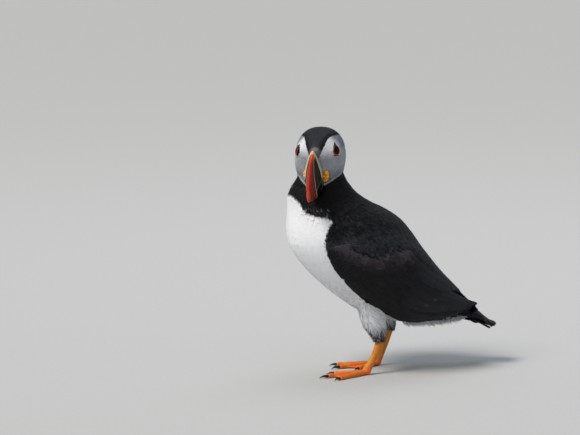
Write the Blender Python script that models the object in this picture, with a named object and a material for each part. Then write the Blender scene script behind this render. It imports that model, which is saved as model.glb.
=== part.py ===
"""Atlantic puffin, life size, standing with its head turned to its left and its bill held low.

Metres, +Z up. The bird faces -X, so its left side is towards -Y, and it stands on Z = 0 with its
bounding box centred on the origin. Lengths below are millimetres, turned to metres by MM.
"""

import math

import bmesh
import bpy
from mathutils import Matrix, Vector
from mathutils.bvhtree import BVHTree

MM = 0.001
GAP = 0.3  # clear space between neighbouring solids
BED_EASE = 1.25  # a faceted bed is cut this much wider, so that its flats keep the gap

# Where the bird's own reference point, under its body between its feet, lies in the part's frame.
BIRD_AT = Vector((-16.97, 1.92, 0.0))

# Sections of neck and trunk, from inside the head to the root of the tail. Each is an oval in a
# plane square to the XZ plane: its breast point (x, z), its back point (x, z), its half width, and
# how far the turned neck carries it to the left.
BODY_SECTIONS = (
    ((-63.0, 169.0), (-31.0, 172.0), 17.0, 6.0),
    ((-70.0, 158.0), (-25.0, 159.0), 20.0, 5.0),
    ((-74.0, 148.0), (-15.5, 148.5), 24.0, 3.0),
    ((-73.5, 136.5), (-3.5, 141.0), 30.5, 1.2),
    ((-73.5, 124.0), (9.0, 135.0), 36.5, 0.2),
    ((-72.2, 110.0), (22.5, 126.0), 41.0, 0.0),
    ((-65.0, 96.5), (33.0, 113.5), 42.5, 0.0),
    ((-52.2, 81.5), (42.5, 100.0), 42.0, 0.0),
    ((-37.0, 68.0), (52.0, 86.5), 39.0, 0.0),
    ((-19.5, 55.0), (62.0, 75.0), 34.0, 0.0),
    ((3.0, 44.6), (71.5, 64.5), 27.0, 0.0),
    ((32.0, 38.4), (78.0, 56.5), 19.5, 0.0),
    ((58.0, 36.6), (84.0, 51.0), 13.5, 0.0),
    ((76.0, 37.8), (87.5, 47.4), 11.0, 0.0),
)
NECK_END = 3.6  # the collar's lower plane, counted in sections from the first
RINGS_PER_SECTION = 2
BODY_SIDES = 26

# The head's own frame has its origin midway between the ears, f forward, u up, l to its left.
HEAD_CENTRE = Vector((-48.2, -6.75, 180.5))
HEAD_TURN = math.radians(59.0)
HEAD_DIP = math.radians(20.5)
# Throat point (f, u), crown point (f, u), half width, and how far the width sits below the middle.
HEAD_SECTIONS = (
    ((-24.0, 1.0), (-24.0, 5.0), 2.5, 0.0),
    ((-22.0, -6.5), (-22.0, 12.0), 9.5, 0.0),
    ((-17.5, -13.0), (-17.5, 17.5), 15.2, 0.0),
    ((-10.0, -19.0), (-10.0, 22.0), 19.2, 0.0),
    ((-2.0, -22.5), (-2.0, 23.2), 20.6, 0.0),
    ((6.0, -24.0), (6.0, 22.2), 20.3, 0.05),
    ((12.5, -23.8), (12.5, 20.2), 18.0, 0.15),
    ((18.0, -22.6), (18.0, 18.0), 12.8, 0.35),
    ((22.0, -21.3), (22.0, 16.6), 8.5, 0.5),
)
HEAD_SIDES = 22
HEAD_SQUARE = 0.9  # below 1 it fills the corners of the head's ovals
# The bill, base to tip, in the same terms. The cere is its first slice.
BILL_SECTIONS = (
    ((23.6, -20.6), (23.6, 16.4), 7.1, 0.55),
    ((26.0, -20.6), (26.5, 16.0), 6.2, 0.55),
    ((32.5, -20.6), (35.0, 13.6), 4.8, 0.5),
    ((39.5, -19.5), (43.5, 8.8), 3.8, 0.4),
    ((46.0, -17.0), (50.5, 2.8), 3.0, 0.3),
    ((51.5, -14.4), (55.4, -3.2), 2.2, 0.15),
    ((55.4, -12.9), (57.8, -8.2), 1.1, 0.0),
    ((57.3, -12.2), (58.1, -10.9), 0.5, 0.0),
)
BILL_SIDES = 20
FACE_NOTCH = 3.4  # how far the corners of the mouth sit behind the culmen's root
CERE_PROUD = 0.55
GAPE = (20.0, -8.6)  # (f, u) where the two jaws part
JAW_DROP = -0.13  # slope of the line between the jaws, towards the tip

EYE_AT = (11.0, 10.8)  # (f, u)
EYE_RADIUS = 4.0
EYE_SUNK = 2.3
ROSETTE_AT = (19.4, -7.8)  # (f, u)
ROSETTE_SIZE = (2.3, 2.3, 4.4)  # half its length forwards, outwards and down the cheek

# Legs, each from hip to ankle, then ankle to the ball of the foot. Left, then right.
THIGHS = {
    "left": (((-4.0, -11.5, 60.0), 9.5), ((-6.5, -15.4, 49.0), 11.8),
             ((-2.8, -18.6, 37.0), 8.5), ((-1.2, -18.2, 29.0), 6.0), ((-1.0, -18.1, 25.5), 5.2)),
    "right": (((16.0, 11.0, 58.0), 9.0), ((17.5, 15.0, 47.0), 10.0),
              ((20.0, 18.2, 38.5), 8.2), ((21.8, 18.1, 32.0), 6.2), ((21.4, 18.1, 28.5), 5.3)),
}
FEET = {
    "left": {"ankle": (0.0, -18.0, 28.4), "ball": (-12.0, -18.5, 3.6), "aim": 4.0},
    "right": {"ankle": (22.4, 18.0, 31.4), "ball": (11.5, 18.5, 3.6), "aim": 10.0},
}
SHANK_RADII = (3.7, 3.1, 3.0, 3.8)  # ankle joint, upper and lower shank, ball of the foot
# Each toe: its turn outwards from the foot's aim in degrees, its length, and its joints' radius.
TOES = {"outer": (24.0, 33.0, 2.3), "middle": (2.0, 35.0, 2.5), "inner": (-24.0, 26.0, 2.2)}
CLAW_LENGTH = {"outer": 6.5, "middle": 8.0, "inner": 6.5}
TOE_STEPS, TOE_SIDES = 7, 7
TOE_SUNK = 0.55  # how much of each toe pad is pressed flat on the floor
WEB_THICK = 1.0

# The folded left wing's two edges, wrist to tip, as they lie on the body.
WING_LOWER = ((-53.0, -34.0, 107.5), (-49.0, -32.5, 98.0), (-40.5, -31.0, 86.0), (-28.5, -27.5, 74.5),
              (-13.5, -24.5, 63.0), (0.5, -24.0, 53.5), (18.0, -21.5, 44.0), (41.0, -16.0, 40.8),
              (64.0, -12.5, 41.5), (80.0, -9.5, 45.6), (90.8, -7.0, 49.8))
WING_UPPER = ((-50.5, -37.0, 109.0), (-42.0, -42.0, 112.0), (-27.0, -44.0, 116.0), (-8.0, -38.0, 121.0),
              (13.0, -27.0, 117.5), (30.0, -17.5, 106.5), (44.5, -12.5, 93.5), (57.0, -10.0, 81.5),
              (70.5, -8.0, 69.0), (83.0, -6.8, 58.2), (91.6, -6.4, 51.4))
WING_ROWS, WING_COLUMNS = 17, 6
WING_RIM, WING_SWELL = 1.0, 3.4
WING_SUNK, WING_LIFTS = 2.0, 2.5  # its inner face dips into the trunk, and is cut to the trunk's shape

# The tail: root to tip, as (x, z, half width, half thickness).
TAIL_SECTIONS = ((83.3, 43.0, 10.6, 4.4), (89.5, 42.2, 12.6, 4.3), (96.0, 40.0, 14.0, 3.3),
                 (102.0, 37.0, 14.6, 2.0), (107.5, 33.9, 12.8, 0.8))
TAIL_LEAN = 11.5 / 9.6  # the root is cut along the trunk's last section, which leans back this much
TAIL_ARCH = 2.4  # how far the outer feathers hang below the middle ones
TAIL_FEATHERS, TAIL_ROWS = 12, 5

COLOURS = {
    "black_feather": (0.016, 0.015, 0.018, 0.62),
    "white_feather": (0.83, 0.84, 0.86, 0.75),
    "cheek_feather": (0.46, 0.48, 0.52, 0.75),
    "orange_skin": (0.90, 0.24, 0.015, 0.45),
    "bill_red": (0.80, 0.10, 0.03, 0.35),
    "cere_cream": (0.86, 0.62, 0.34, 0.45),
    "rosette_yellow": (0.92, 0.46, 0.01, 0.45),
    "claw_horn": (0.02, 0.018, 0.02, 0.4),
    "eye_glass": (0.03, 0.015, 0.01, 0.08),
}


def material(name):
    """The plain material of that name, made once."""
    if name in bpy.data.materials:
        return bpy.data.materials[name]
    red, green, blue, roughness = COLOURS[name]
    made = bpy.data.materials.new(name)
    made.use_nodes = True
    shader = made.node_tree.nodes["Principled BSDF"]
    shader.inputs["Base Color"].default_value = (red, green, blue, 1.0)
    shader.inputs["Roughness"].default_value = roughness
    shader.inputs["Metallic"].default_value = 0.0
    return made


def add_object(name, bm, finish, frame, helper=False):
    """Closes off a bmesh in millimetres as an object on the empty called frame."""
    bmesh.ops.remove_doubles(bm, verts=bm.verts[:], dist=0.01)
    bmesh.ops.recalc_face_normals(bm, faces=bm.faces[:])
    bmesh.ops.scale(bm, vec=(MM, MM, MM), verts=bm.verts[:])
    mesh = bpy.data.meshes.new(name)
    bm.to_mesh(mesh)
    bm.free()
    mesh.shade_smooth()
    mesh.set_sharp_from_angle(angle=math.radians(50.0))
    made = bpy.data.objects.new(name, mesh)
    bpy.context.scene.collection.objects.link(made)
    made.parent = frame
    if helper:
        made.hide_render = True
        made.display_type = "WIRE"
    else:
        mesh.materials.append(material(finish))
    return made


def boolean(target, operation, other):
    """Joins, cuts or crosses target with the helper object other."""
    step = target.modifiers.new(f"{operation.lower()}_{other.name}", "BOOLEAN")
    step.operation = operation
    step.solver = "EXACT"
    step.object = other


def along(rows, s):
    """Catmull-Rom value at s, counted in rows, of rows that hold numbers or nested tuples of them."""
    if isinstance(rows[0], (tuple, list)):
        return tuple(along([row[k] for row in rows], s) for k in range(len(rows[0])))
    i = min(max(int(s), 0), len(rows) - 2)
    t = s - i
    b, c = rows[i], rows[i + 1]
    a = rows[i - 1] if i else 2 * b - c
    d = rows[i + 2] if i + 2 < len(rows) else 2 * c - b
    return b + 0.5 * t * (c - a + t * (2 * a - 5 * b + 4 * c - d + t * (3 * (b - c) + d - a)))


def squared(value, power):
    """A sine or cosine raised to a power, with its sign kept: below 1 it fills an oval's corners."""
    return math.copysign(abs(value) ** power, value)


def oval(low, high, half_width, skew, angle, grow=0.0, notch=0.0, power=1.0):
    """A point of a section: angle 0 is its low end, pi its high end. Returns (first, height, across)."""
    low, high = Vector(low), Vector(high)
    half = (high - low) / 2
    half = half * (1 + grow / half.length)
    place = (low + high) / 2 - half * squared(math.cos(angle), power)
    across = (half_width + grow) * squared(math.sin(angle + skew * math.sin(angle)), power)
    return place.x - notch * math.sin(angle) ** 2, place.y, across


def body_point(s, angle):
    """A point on the surface of neck and trunk; the left side is at angles from 0 to pi."""
    low, high, half_width, sway = along(BODY_SECTIONS, s)
    x, z, across = oval(low, high, half_width, 0.0, angle)
    return Vector((x, -across - sway, z))


def head_point(sections, s, angle, grow=0.0, notch=0.0, power=1.0):
    """A point on the head or bill, in the head's own frame turned to -X forward and -Y left."""
    low, high, half_width, skew = along(sections, s)
    f, u, left = oval(low, high, half_width, skew, angle, grow, notch, power)
    return Vector((-f, -left, u))


def skin_rings(rings):
    """A closed bmesh over a row of rings of points, with flat ends."""
    bm = bmesh.new()
    loops = [[bm.verts.new(p) for p in ring] for ring in rings]
    for near, far in zip(loops, loops[1:]):
        for k in range(len(near)):
            n = (k + 1) % len(near)
            bm.faces.new((near[k], near[n], far[n], far[k]))
    bm.faces.new(loops[0])
    bm.faces.new(loops[-1])
    return bm


def span(start, end, count):
    """count + 1 evenly spaced numbers from start to end."""
    return [start + (end - start) * k / count for k in range(count + 1)]


def turns(sides):
    """The angles of a ring of that many sides."""
    return [2 * math.pi * k / sides for k in range(sides)]


def body_mesh(start, end):
    """The stretch of neck and trunk from one section to another."""
    steps = span(start, end, max(2, round((end - start) * RINGS_PER_SECTION)))
    return skin_rings([[body_point(s, a) for a in turns(BODY_SIDES)] for s in steps])


def head_notch(s):
    """The face draws back at the corners of the mouth only where it nears the bill."""
    return FACE_NOTCH * max(0.0, (s - 5.0) / (len(HEAD_SECTIONS) - 6.0)) ** 2


def head_mesh():
    """The head, from the back of the skull to the feather line round the bill."""
    last = len(HEAD_SECTIONS) - 1
    rings = [[head_point(HEAD_SECTIONS, s, a, 0.0, head_notch(s), HEAD_SQUARE) for a in turns(HEAD_SIDES)]
             for s in span(0, last, last * 2)]
    bm = skin_rings(rings)
    bmesh.ops.triangulate(bm, faces=[f for f in bm.faces if len(f.verts) > 4])
    return bm


def bill_mesh(start, end, steps, grow=0.0):
    """A stretch of the bill; its sides draw back towards the mouth's corners at the root."""
    rings = [[head_point(BILL_SECTIONS, s, a, grow, FACE_NOTCH * max(0.0, 1 - s / 3) ** 2)
              for a in turns(BILL_SIDES)] for s in span(start, end, steps)]
    bm = skin_rings(rings)
    bmesh.ops.triangulate(bm, faces=[f for f in bm.faces if len(f.verts) > 4])
    return bm


def jaw(side):
    """The upper or lower half of the bill beyond the cere, parted along the line of the mouth."""
    bm = bill_mesh(1.0 + GAP / 8, len(BILL_SECTIONS) - 1, 12)
    f, u = GAPE
    normal = Vector((-JAW_DROP, 0.0, -1.0)) if side == "upper" else Vector((JAW_DROP, 0.0, 1.0))
    middle = Vector((-f, 0.0, u - side_shift(side)))
    bmesh.ops.bisect_plane(bm, geom=bm.verts[:] + bm.edges[:] + bm.faces[:], plane_co=middle,
                           plane_no=normal, clear_outer=True)
    rim = [edge for edge in bm.edges if edge.is_boundary]
    bmesh.ops.holes_fill(bm, edges=rim)
    return bm


def side_shift(side):
    """Half the gap between the jaws, down for the lower one."""
    return -GAP / 2 if side == "upper" else GAP / 2


def bed(bm):
    """Swells a closed mesh by a little over the gap, to cut a neighbour clear of it."""
    bmesh.ops.recalc_face_normals(bm, faces=bm.faces[:])
    bm.normal_update()
    pushes = [vert.normal * GAP * BED_EASE for vert in bm.verts]
    for vert, push in zip(bm.verts, pushes):
        vert.co += push
    return bm


def ball(radii, centre, turn=Matrix.Identity(4), segments=12, rings=7):
    """An ellipsoid."""
    bm = bmesh.new()
    bmesh.ops.create_uvsphere(bm, u_segments=segments, v_segments=rings, radius=1.0)
    bmesh.ops.scale(bm, vec=radii, verts=bm.verts[:])
    bmesh.ops.transform(bm, matrix=Matrix.Translation(centre) @ turn, verts=bm.verts[:])
    return bm


def tube(path, radii, sides=12, flatten=1.0):
    """A round limb through points, with its own radius at each, flattened from side to side."""
    points = [Vector(p) for p in path]
    rings = []
    for k, point in enumerate(points):
        ahead = (points[min(k + 1, len(points) - 1)] - points[max(k - 1, 0)]).normalized()
        across = (Vector((0, 1, 0)) - ahead * ahead.y).normalized()
        other = across.cross(ahead)
        rings.append([point + radii[k] * (across * math.cos(a) * flatten + other * math.sin(a))
                      for a in turns(sides)])
    return skin_rings(rings)


def slab(face, back):
    """A closed plate between two matching grids of points."""
    bm = bmesh.new()
    front = [[bm.verts.new(p) for p in row] for row in face]
    rear = [[bm.verts.new(p) for p in row] for row in back]
    rows, columns = len(face), len(face[0])
    for i in range(rows - 1):
        for j in range(columns - 1):
            for grid in (front, rear):
                bm.faces.new((grid[i][j], grid[i + 1][j], grid[i + 1][j + 1], grid[i][j + 1]))
    rim = [(i, 0) for i in range(rows)] + [(rows - 1, j) for j in range(1, columns)]
    rim += [(i, columns - 1) for i in range(rows - 2, -1, -1)] + [(0, j) for j in range(columns - 2, 0, -1)]
    for here, there in zip(rim, rim[1:] + rim[:1]):
        bm.faces.new((front[here[0]][here[1]], front[there[0]][there[1]],
                      rear[there[0]][there[1]], rear[here[0]][here[1]]))
    return bm


def section_of(x, z):
    """The place along the trunk whose section plane holds (x, z)."""
    low_s, high_s = NECK_END, len(BODY_SECTIONS) - 1.0
    for _ in range(24):
        s = (low_s + high_s) / 2
        low, high, _half, _sway = along(BODY_SECTIONS, s)
        line = (high[0] - low[0], high[1] - low[1])
        side = line[0] * (z - low[1]) - line[1] * (x - low[0])
        if side > 0:
            high_s = s
        else:
            low_s = s
    return s


def clear_of_body(point, clearance):
    """The point, pushed away from the trunk's core until it is that far outside the trunk.

    Also a point below it, sunk into the trunk wherever the first one lies on it, and the way out.
    """
    s = section_of(point.x, point.z)
    low, high, half_width, _sway = along(BODY_SECTIONS, s)
    low, high = Vector((low[0], 0.0, low[1])), Vector((high[0], 0.0, high[1]))
    core = (low + high) / 2
    depth = (high - low).length / 2
    out = point - core
    reach = out.length
    out.normalize()
    up = out.dot((high - low).normalized())
    edge = 1 / math.sqrt((up / depth) ** 2 + (1 - up * up) / half_width ** 2)
    laid = max(reach, edge + clearance)
    touch = min(1.0, max(0.0, 1.0 - (laid - edge - clearance) / WING_LIFTS))
    return core + out * laid, core + out * (laid - WING_SUNK * touch), out


def wing_mesh():
    """The folded left wing: a shell that lies on the flank and thins to a blade beyond it."""
    inner, outer = [], []
    last = len(WING_LOWER) - 1
    for i in range(WING_ROWS + 1):
        share = i / WING_ROWS
        low = Vector(along(WING_LOWER, share * last))
        high = Vector(along(WING_UPPER, share * last))
        body = math.sin(math.pi * min(1.0, 0.12 + 0.88 * share)) ** 0.7
        inside, outside = [], []
        for j in range(WING_COLUMNS + 1):
            across = j / WING_COLUMNS
            laid, sunk, out = clear_of_body(low.lerp(high, across), GAP)
            inside.append(sunk)
            thick = WING_RIM + WING_SWELL * body * math.sin(math.pi * across) ** 0.8
            outside.append(laid + out * thick)
        inner.append(inside)
        outer.append(outside)
    return slab(outer, inner)


def mirrored(bm):
    """The same mesh for the right side."""
    bmesh.ops.scale(bm, vec=(1, -1, 1), verts=bm.verts[:])
    bmesh.ops.reverse_faces(bm, faces=bm.faces[:])
    return bm


def tail_mesh():
    """The spread of short tail feathers: an arched fan whose end is cut into rounded tips."""
    columns = TAIL_FEATHERS * 2
    upper, under = [], []
    last = len(TAIL_SECTIONS) - 1
    for share in span(0, 1, TAIL_ROWS):
        x, z, half_width, half_thick = along(TAIL_SECTIONS, share * last)
        above, below = [], []
        for j in range(columns + 1):
            side = 2 * j / columns - 1
            tip = 1.5 * share ** 3 * (j % 2) - 9.0 * share ** 2 * side ** 4
            edge = math.sqrt(max(0.0, 1 - side ** 2)) * (1 - share) + share * (1 - 0.4 * side ** 2)
            thick = max(0.35, half_thick * edge)
            hang = z - TAIL_ARCH * side ** 2 * share
            lean = TAIL_LEAN * thick * (1 - share) ** 2
            above.append(Vector((x + tip + lean, half_width * side, hang + thick)))
            below.append(Vector((x + tip - lean, half_width * side, hang - thick)))
        upper.append(above)
        under.append(below)
    return slab(upper, under)


def toe_tip(foot, toe):
    """The direction of a toe, and its last joint, for the foot of that side."""
    turn, length, radius = TOES[toe]
    sign = -1 if foot == "left" else 1
    angle = math.radians(FEET[foot]["aim"] * -1 + sign * turn) if foot == "right" else \
        math.radians(-FEET[foot]["aim"] - turn)
    ahead = Vector((-math.cos(angle), math.sin(angle), 0.0))
    ball_at = Vector(FEET[foot]["ball"])
    height = radius * 0.72 - TOE_SUNK
    return ahead, Vector((ball_at.x, ball_at.y, height)) + ahead * length, radius


def toe_mesh(foot, toe):
    """One toe, with three knuckles, lying on the floor."""
    ahead, tip, radius = toe_tip(foot, toe)
    start = Vector(FEET[foot]["ball"]) + Vector((0, 0, -1.0))
    path, radii = [], []
    for share in span(0, 1, TOE_STEPS):
        place = start.lerp(tip, share)
        lift = radius - TOE_SUNK
        place.z = lift + (start.z - lift) * (1 - share) ** 3
        knuckle = 0.22 * math.cos(6 * math.pi * share)
        path.append(place)
        radii.append(radius * (1.1 - 0.32 * share) + knuckle)
    return tube(path, radii, sides=TOE_SIDES)


def web_mesh(foot, first, second):
    """The skin between two toes: flat, with a hollow front edge."""
    base = Vector(FEET[foot]["ball"])
    base.z = 2.4
    _, tip_a, _ = toe_tip(foot, first)
    _, tip_b, _ = toe_tip(foot, second)
    top, under = [], []
    for r in span(0.04, 0.97, 3):
        above, below = [], []
        for v in span(0, 1, 4):
            reach = r * (1 - 0.16 * math.sin(math.pi * v) * r)
            place = base.lerp(tip_a.lerp(tip_b, v), reach)
            sag = 0.5 * math.sin(math.pi * v)
            place.z = 1.15 + 1.2 * (1 - r) - sag * 0.3
            above.append(place + Vector((0, 0, WEB_THICK / 2)))
            below.append(place - Vector((0, 0, WEB_THICK / 2)))
        top.append(above)
        under.append(below)
    return slab(top, under)


def claw_mesh(foot, toe):
    """A curved claw that starts just past the toe and comes down to the floor."""
    ahead, tip, radius = toe_tip(foot, toe)
    length = CLAW_LENGTH[toe]
    thick = radius * 0.62
    start = Vector((tip.x, tip.y, radius * 0.78 - TOE_SUNK)) + ahead * GAP * 1.5
    path, radii = [], []
    for share in span(0, 1, 5):
        arch = math.sin(math.pi * min(1.0, share * 1.1) * 0.62)
        place = start + ahead * length * share
        size = max(0.28, thick * (1 - 0.88 * share ** 1.3))
        place.z = max(start.z + 1.1 * arch - 1.6 * share ** 2 * 1.2, size + 0.02)
        path.append(place)
        radii.append(size)
    return tube(path, radii, sides=6)


def shank_mesh(foot):
    """The bare shank, from the ankle joint to the ball of the foot, flattened from side to side."""
    ankle, ball_at = Vector(FEET[foot]["ankle"]), Vector(FEET[foot]["ball"])
    path, radii = [], []
    for share in span(0, 1, 6):
        place = ankle.lerp(ball_at, share)
        place.x += 1.2 * math.sin(math.pi * share)
        path.append(place)
        radii.append(along(SHANK_RADII, share * (len(SHANK_RADII) - 1)))
    return tube(path, radii, sides=10, flatten=0.85)


def thigh_mesh(side):
    """The feathered leg, from inside the body to the ankle."""
    rows = [(*place, radius) for place, radius in THIGHS[side]]
    path, radii = [], []
    for s in span(0, len(rows) - 1, 8):
        x, y, z, radius = along(rows, s)
        path.append((x, y, z))
        radii.append(radius)
    return tube(path, radii, sides=14, flatten=0.92)


def build_foot(side, frame):
    """One foot: shank, toes and webs made one, and its pads pressed flat on the floor."""
    foot = add_object(f"foot_{side}", shank_mesh(side), "orange_skin", frame)
    ball_at = Vector(FEET[side]["ball"])
    pieces = {"ball": ball((3.9, 3.9, 3.2), ball_at + Vector((0, 0, -0.6)))}
    pieces.update({toe: toe_mesh(side, toe) for toe in TOES})
    pieces["outer_web"] = web_mesh(side, "outer", "middle")
    pieces["inner_web"] = web_mesh(side, "middle", "inner")
    for name, bm in pieces.items():
        boolean(foot, "UNION", add_object(f"{side}_{name}_join", bm, None, frame, helper=True))
    floor = bmesh.new()
    bmesh.ops.create_cube(floor, size=200.0)
    bmesh.ops.translate(floor, vec=(0, 0, -100.0), verts=floor.verts[:])
    boolean(foot, "DIFFERENCE", add_object(f"{side}_floor_cut", floor, None, frame, helper=True))
    for toe in TOES:
        add_object(f"claw_{side}_{toe}", claw_mesh(side, toe), "claw_horn", frame)


def build_head(bird):
    """Head, bill, eyes and the fleshy rosettes at the mouth's corners, all on the head's own frame."""
    frame = bpy.data.objects.new("head_frame", None)
    bpy.context.scene.collection.objects.link(frame)
    frame.parent = bird
    frame.location = HEAD_CENTRE * MM
    frame.rotation_euler = (0.0, -HEAD_DIP, HEAD_TURN)
    surface = head_mesh()
    tree = BVHTree.FromBMesh(surface)
    head = add_object("head", surface, "cheek_feather", frame)
    cere = add_object("bill_base", bill_mesh(0.0, 1.0, 3, grow=CERE_PROUD), "cere_cream", frame)
    upper = add_object("bill_upper", jaw("upper"), "bill_red", frame)
    lower = add_object("bill_lower", jaw("lower"), "bill_red", frame)
    last = len(BILL_SECTIONS) - 1
    beds = [add_object("head_bed", bed(head_mesh()), None, frame, helper=True),
            add_object("bill_bed", bed(bill_mesh(0.0, last, 14, CERE_PROUD)), None, frame, helper=True)]
    for side, sign in (("left", -1), ("right", 1)):
        f, u = EYE_AT
        hit, normal, _, _ = tree.ray_cast(Vector((-f, 0, u)), Vector((0, sign, 0)))
        centre = hit - normal * EYE_SUNK
        add_object(f"eye_{side}", ball((EYE_RADIUS,) * 3, centre), "eye_glass", frame)
        socket = bed(ball((EYE_RADIUS,) * 3, centre))
        boolean(head, "DIFFERENCE", add_object(f"eye_socket_{side}", socket, None, frame, helper=True))
        f, u = ROSETTE_AT
        hit, normal, _, _ = tree.ray_cast(Vector((-f, 0, u)), Vector((0, sign, 0)))
        centre = hit + normal * 0.3
        size = Vector(ROSETTE_SIZE)
        lean = Matrix.Rotation(math.radians(12.0), 4, "Y")
        add_object(f"rosette_{side}", ball(size, centre, lean, 10, 6), "rosette_yellow", frame)
        rosette_bed = add_object(f"rosette_bed_{side}", bed(ball(size, centre, lean, 10, 6)), None,
                                 frame, helper=True)
        for piece in (head, cere, upper, lower):
            boolean(piece, "DIFFERENCE", rosette_bed)
        beds.append(rosette_bed)
    return beds


def build_bird():
    """Every node of the bird."""
    for old in list(bpy.data.objects):
        bpy.data.objects.remove(old)
    bird = bpy.data.objects.new("bird", None)
    bpy.context.scene.collection.objects.link(bird)
    bird.location = BIRD_AT * MM
    neck = add_object("neck", body_mesh(0.0, NECK_END - 0.03), "black_feather", bird)
    for hollow in reversed(build_head(bird)):
        boolean(neck, "DIFFERENCE", hollow)
    last = len(BODY_SECTIONS) - 1
    add_object("trunk", body_mesh(NECK_END, last), "white_feather", bird)
    trunk_bed = add_object("trunk_bed", bed(body_mesh(NECK_END, last)), None, bird, helper=True)
    add_object("tail", tail_mesh(), "black_feather", bird)
    for side in ("left", "right"):
        wing = {"left": wing_mesh(), "right": mirrored(wing_mesh())}[side]
        wing_bed = add_object(f"wing_bed_{side}", bed(wing.copy()), None, bird, helper=True)
        wing = add_object(f"wing_{side}", wing, "black_feather", bird)
        boolean(wing, "DIFFERENCE", trunk_bed)
        thigh = add_object(f"thigh_{side}", thigh_mesh(side), "white_feather", bird)
        shank_bed = add_object(f"shank_bed_{side}", bed(shank_mesh(side)), None, bird, helper=True)
        for hollow in (wing_bed, shank_bed, trunk_bed):
            boolean(thigh, "DIFFERENCE", hollow)
        build_foot(side, bird)


build_bird()
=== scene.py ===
"""Atlantic puffin, life size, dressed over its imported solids.

Metres, +Z up, the bird faces -X and its left side is towards -Y. Sizes in the classes are
millimetres in the bird's own frame, which lies under its body between its feet; MM turns them to
metres. Head sizes are (forward, up, left) from the middle of the head.
"""

import logging
import math
from collections.abc import Callable, Sequence
from dataclasses import dataclass, field
from enum import Enum

import bmesh
import bpy
import numpy as np
from bpy.types import Material, Mesh, Node, NodeSocket, NodeTree, Object
from mathutils import Euler, Matrix, Vector
from mathutils.bvhtree import BVHTree
from mathutils.kdtree import KDTree
from numpy.random import Generator


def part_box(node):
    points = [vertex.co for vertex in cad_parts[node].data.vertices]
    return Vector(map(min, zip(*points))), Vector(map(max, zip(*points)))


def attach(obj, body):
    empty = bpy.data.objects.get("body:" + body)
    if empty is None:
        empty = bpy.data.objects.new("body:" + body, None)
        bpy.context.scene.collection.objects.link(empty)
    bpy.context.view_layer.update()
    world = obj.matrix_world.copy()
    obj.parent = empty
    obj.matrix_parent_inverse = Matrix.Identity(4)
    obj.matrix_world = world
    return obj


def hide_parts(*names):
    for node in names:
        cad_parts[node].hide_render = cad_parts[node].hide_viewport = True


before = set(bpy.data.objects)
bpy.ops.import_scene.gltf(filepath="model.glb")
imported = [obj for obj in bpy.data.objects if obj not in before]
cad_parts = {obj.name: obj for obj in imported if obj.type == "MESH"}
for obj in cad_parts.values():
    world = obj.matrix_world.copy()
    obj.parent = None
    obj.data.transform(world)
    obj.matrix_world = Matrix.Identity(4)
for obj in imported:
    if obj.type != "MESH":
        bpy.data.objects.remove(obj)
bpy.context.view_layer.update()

log = logging.getLogger("puffin")

Polyline = tuple[tuple[float, float], ...]

MM = 0.001
ORIGIN = Vector((-16.97, 1.92, 0.0))  # the bird's own frame inside the part's frame
HEAD_CENTRE = Vector((-48.2, -6.75, 180.5))
HEAD_TURN, HEAD_DIP = math.radians(59.0), math.radians(20.5)
PATCH = 0.003  # each tuft's share of the bake map
SEED = 20261
# The lower edge of the shoulder feathers over the folded wing, in side view: x, height.
SHOULDER = ((-50.2, 123.5), (-45.4, 117.4), (-39.3, 112.5), (-31.0, 108.1), (-22.6, 105.0), (-11.0, 104.5),
            (-1.6, 106.0), (13.8, 106.5), (25.3, 100.0), (38.7, 89.6), (49.4, 81.5), (65.4, 70.8),
            (75.9, 62.7), (85.1, 56.6), (90.9, 50.8))


class Side(Enum):
    """The two sides of the bird."""

    LEFT = "left"
    RIGHT = "right"

    @property
    def sign(self) -> float:
        """-1 on the left, towards -Y, and 1 on the right."""
        return -1.0 if self is Side.LEFT else 1.0


class Slot(Enum):
    """The material slots of the part's record."""

    BLACK = "black_feather"
    WHITE = "white_feather"
    CHEEK = "cheek_feather"
    ORANGE = "orange_skin"
    RED = "bill_red"
    CREAM = "cere_cream"
    YELLOW = "rosette_yellow"
    CLAW = "claw_horn"
    EYE = "eye_glass"


# ---------------------------------------------------------------------------------------------
# Frames, numbers and meshes


def bird(x: float, y: float, z: float) -> Vector:
    """A point of the bird's own frame, in metres in the part's frame."""
    return (Vector((x, y, z)) + ORIGIN) * MM


HEAD = Matrix.Translation(bird(*HEAD_CENTRE)) @ Euler((0.0, -HEAD_DIP, HEAD_TURN)).to_matrix().to_4x4()
HEAD_INVERSE = np.array(HEAD.inverted())


def head(forward: float, up: float, left: float) -> Vector:
    """A point of the head's frame, in metres in the part's frame."""
    return HEAD @ (Vector((-forward, -left, up)) * MM)


def in_bird(points: np.ndarray) -> np.ndarray:
    """Rows of points in the bird's own frame, in millimetres."""
    return points / MM - np.array(ORIGIN)


def in_head(points: np.ndarray) -> np.ndarray:
    """Rows of (forward, up, left) in millimetres for rows of points in metres."""
    local = (points @ HEAD_INVERSE[:3, :3].T + HEAD_INVERSE[:3, 3]) / MM
    return np.stack((-local[:, 0], local[:, 2], -local[:, 1]), axis=1)


HEAD_REACH = 29.0  # how far from the skull's middle the head's own feathers grow
SKULL_MIDDLE = np.array((1.0, 0.0, 0.0))


def off_skull(skull: np.ndarray) -> np.ndarray:
    """How far rows of (forward, up, left) lie from the skull's middle, in millimetres."""
    return np.linalg.norm(skull - SKULL_MIDDLE, axis=1)


def unit(rows: np.ndarray) -> np.ndarray:
    """The rows, each scaled to a length of one."""
    return rows / np.maximum(np.linalg.norm(rows, axis=-1, keepdims=True), 1e-12)


def step(low: float, high: float, value: np.ndarray) -> np.ndarray:
    """A smooth step from 0 at low to 1 at high."""
    share = np.clip((value - low) / (high - low), 0.0, 1.0)
    return share * share * (3.0 - 2.0 * share)


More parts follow.
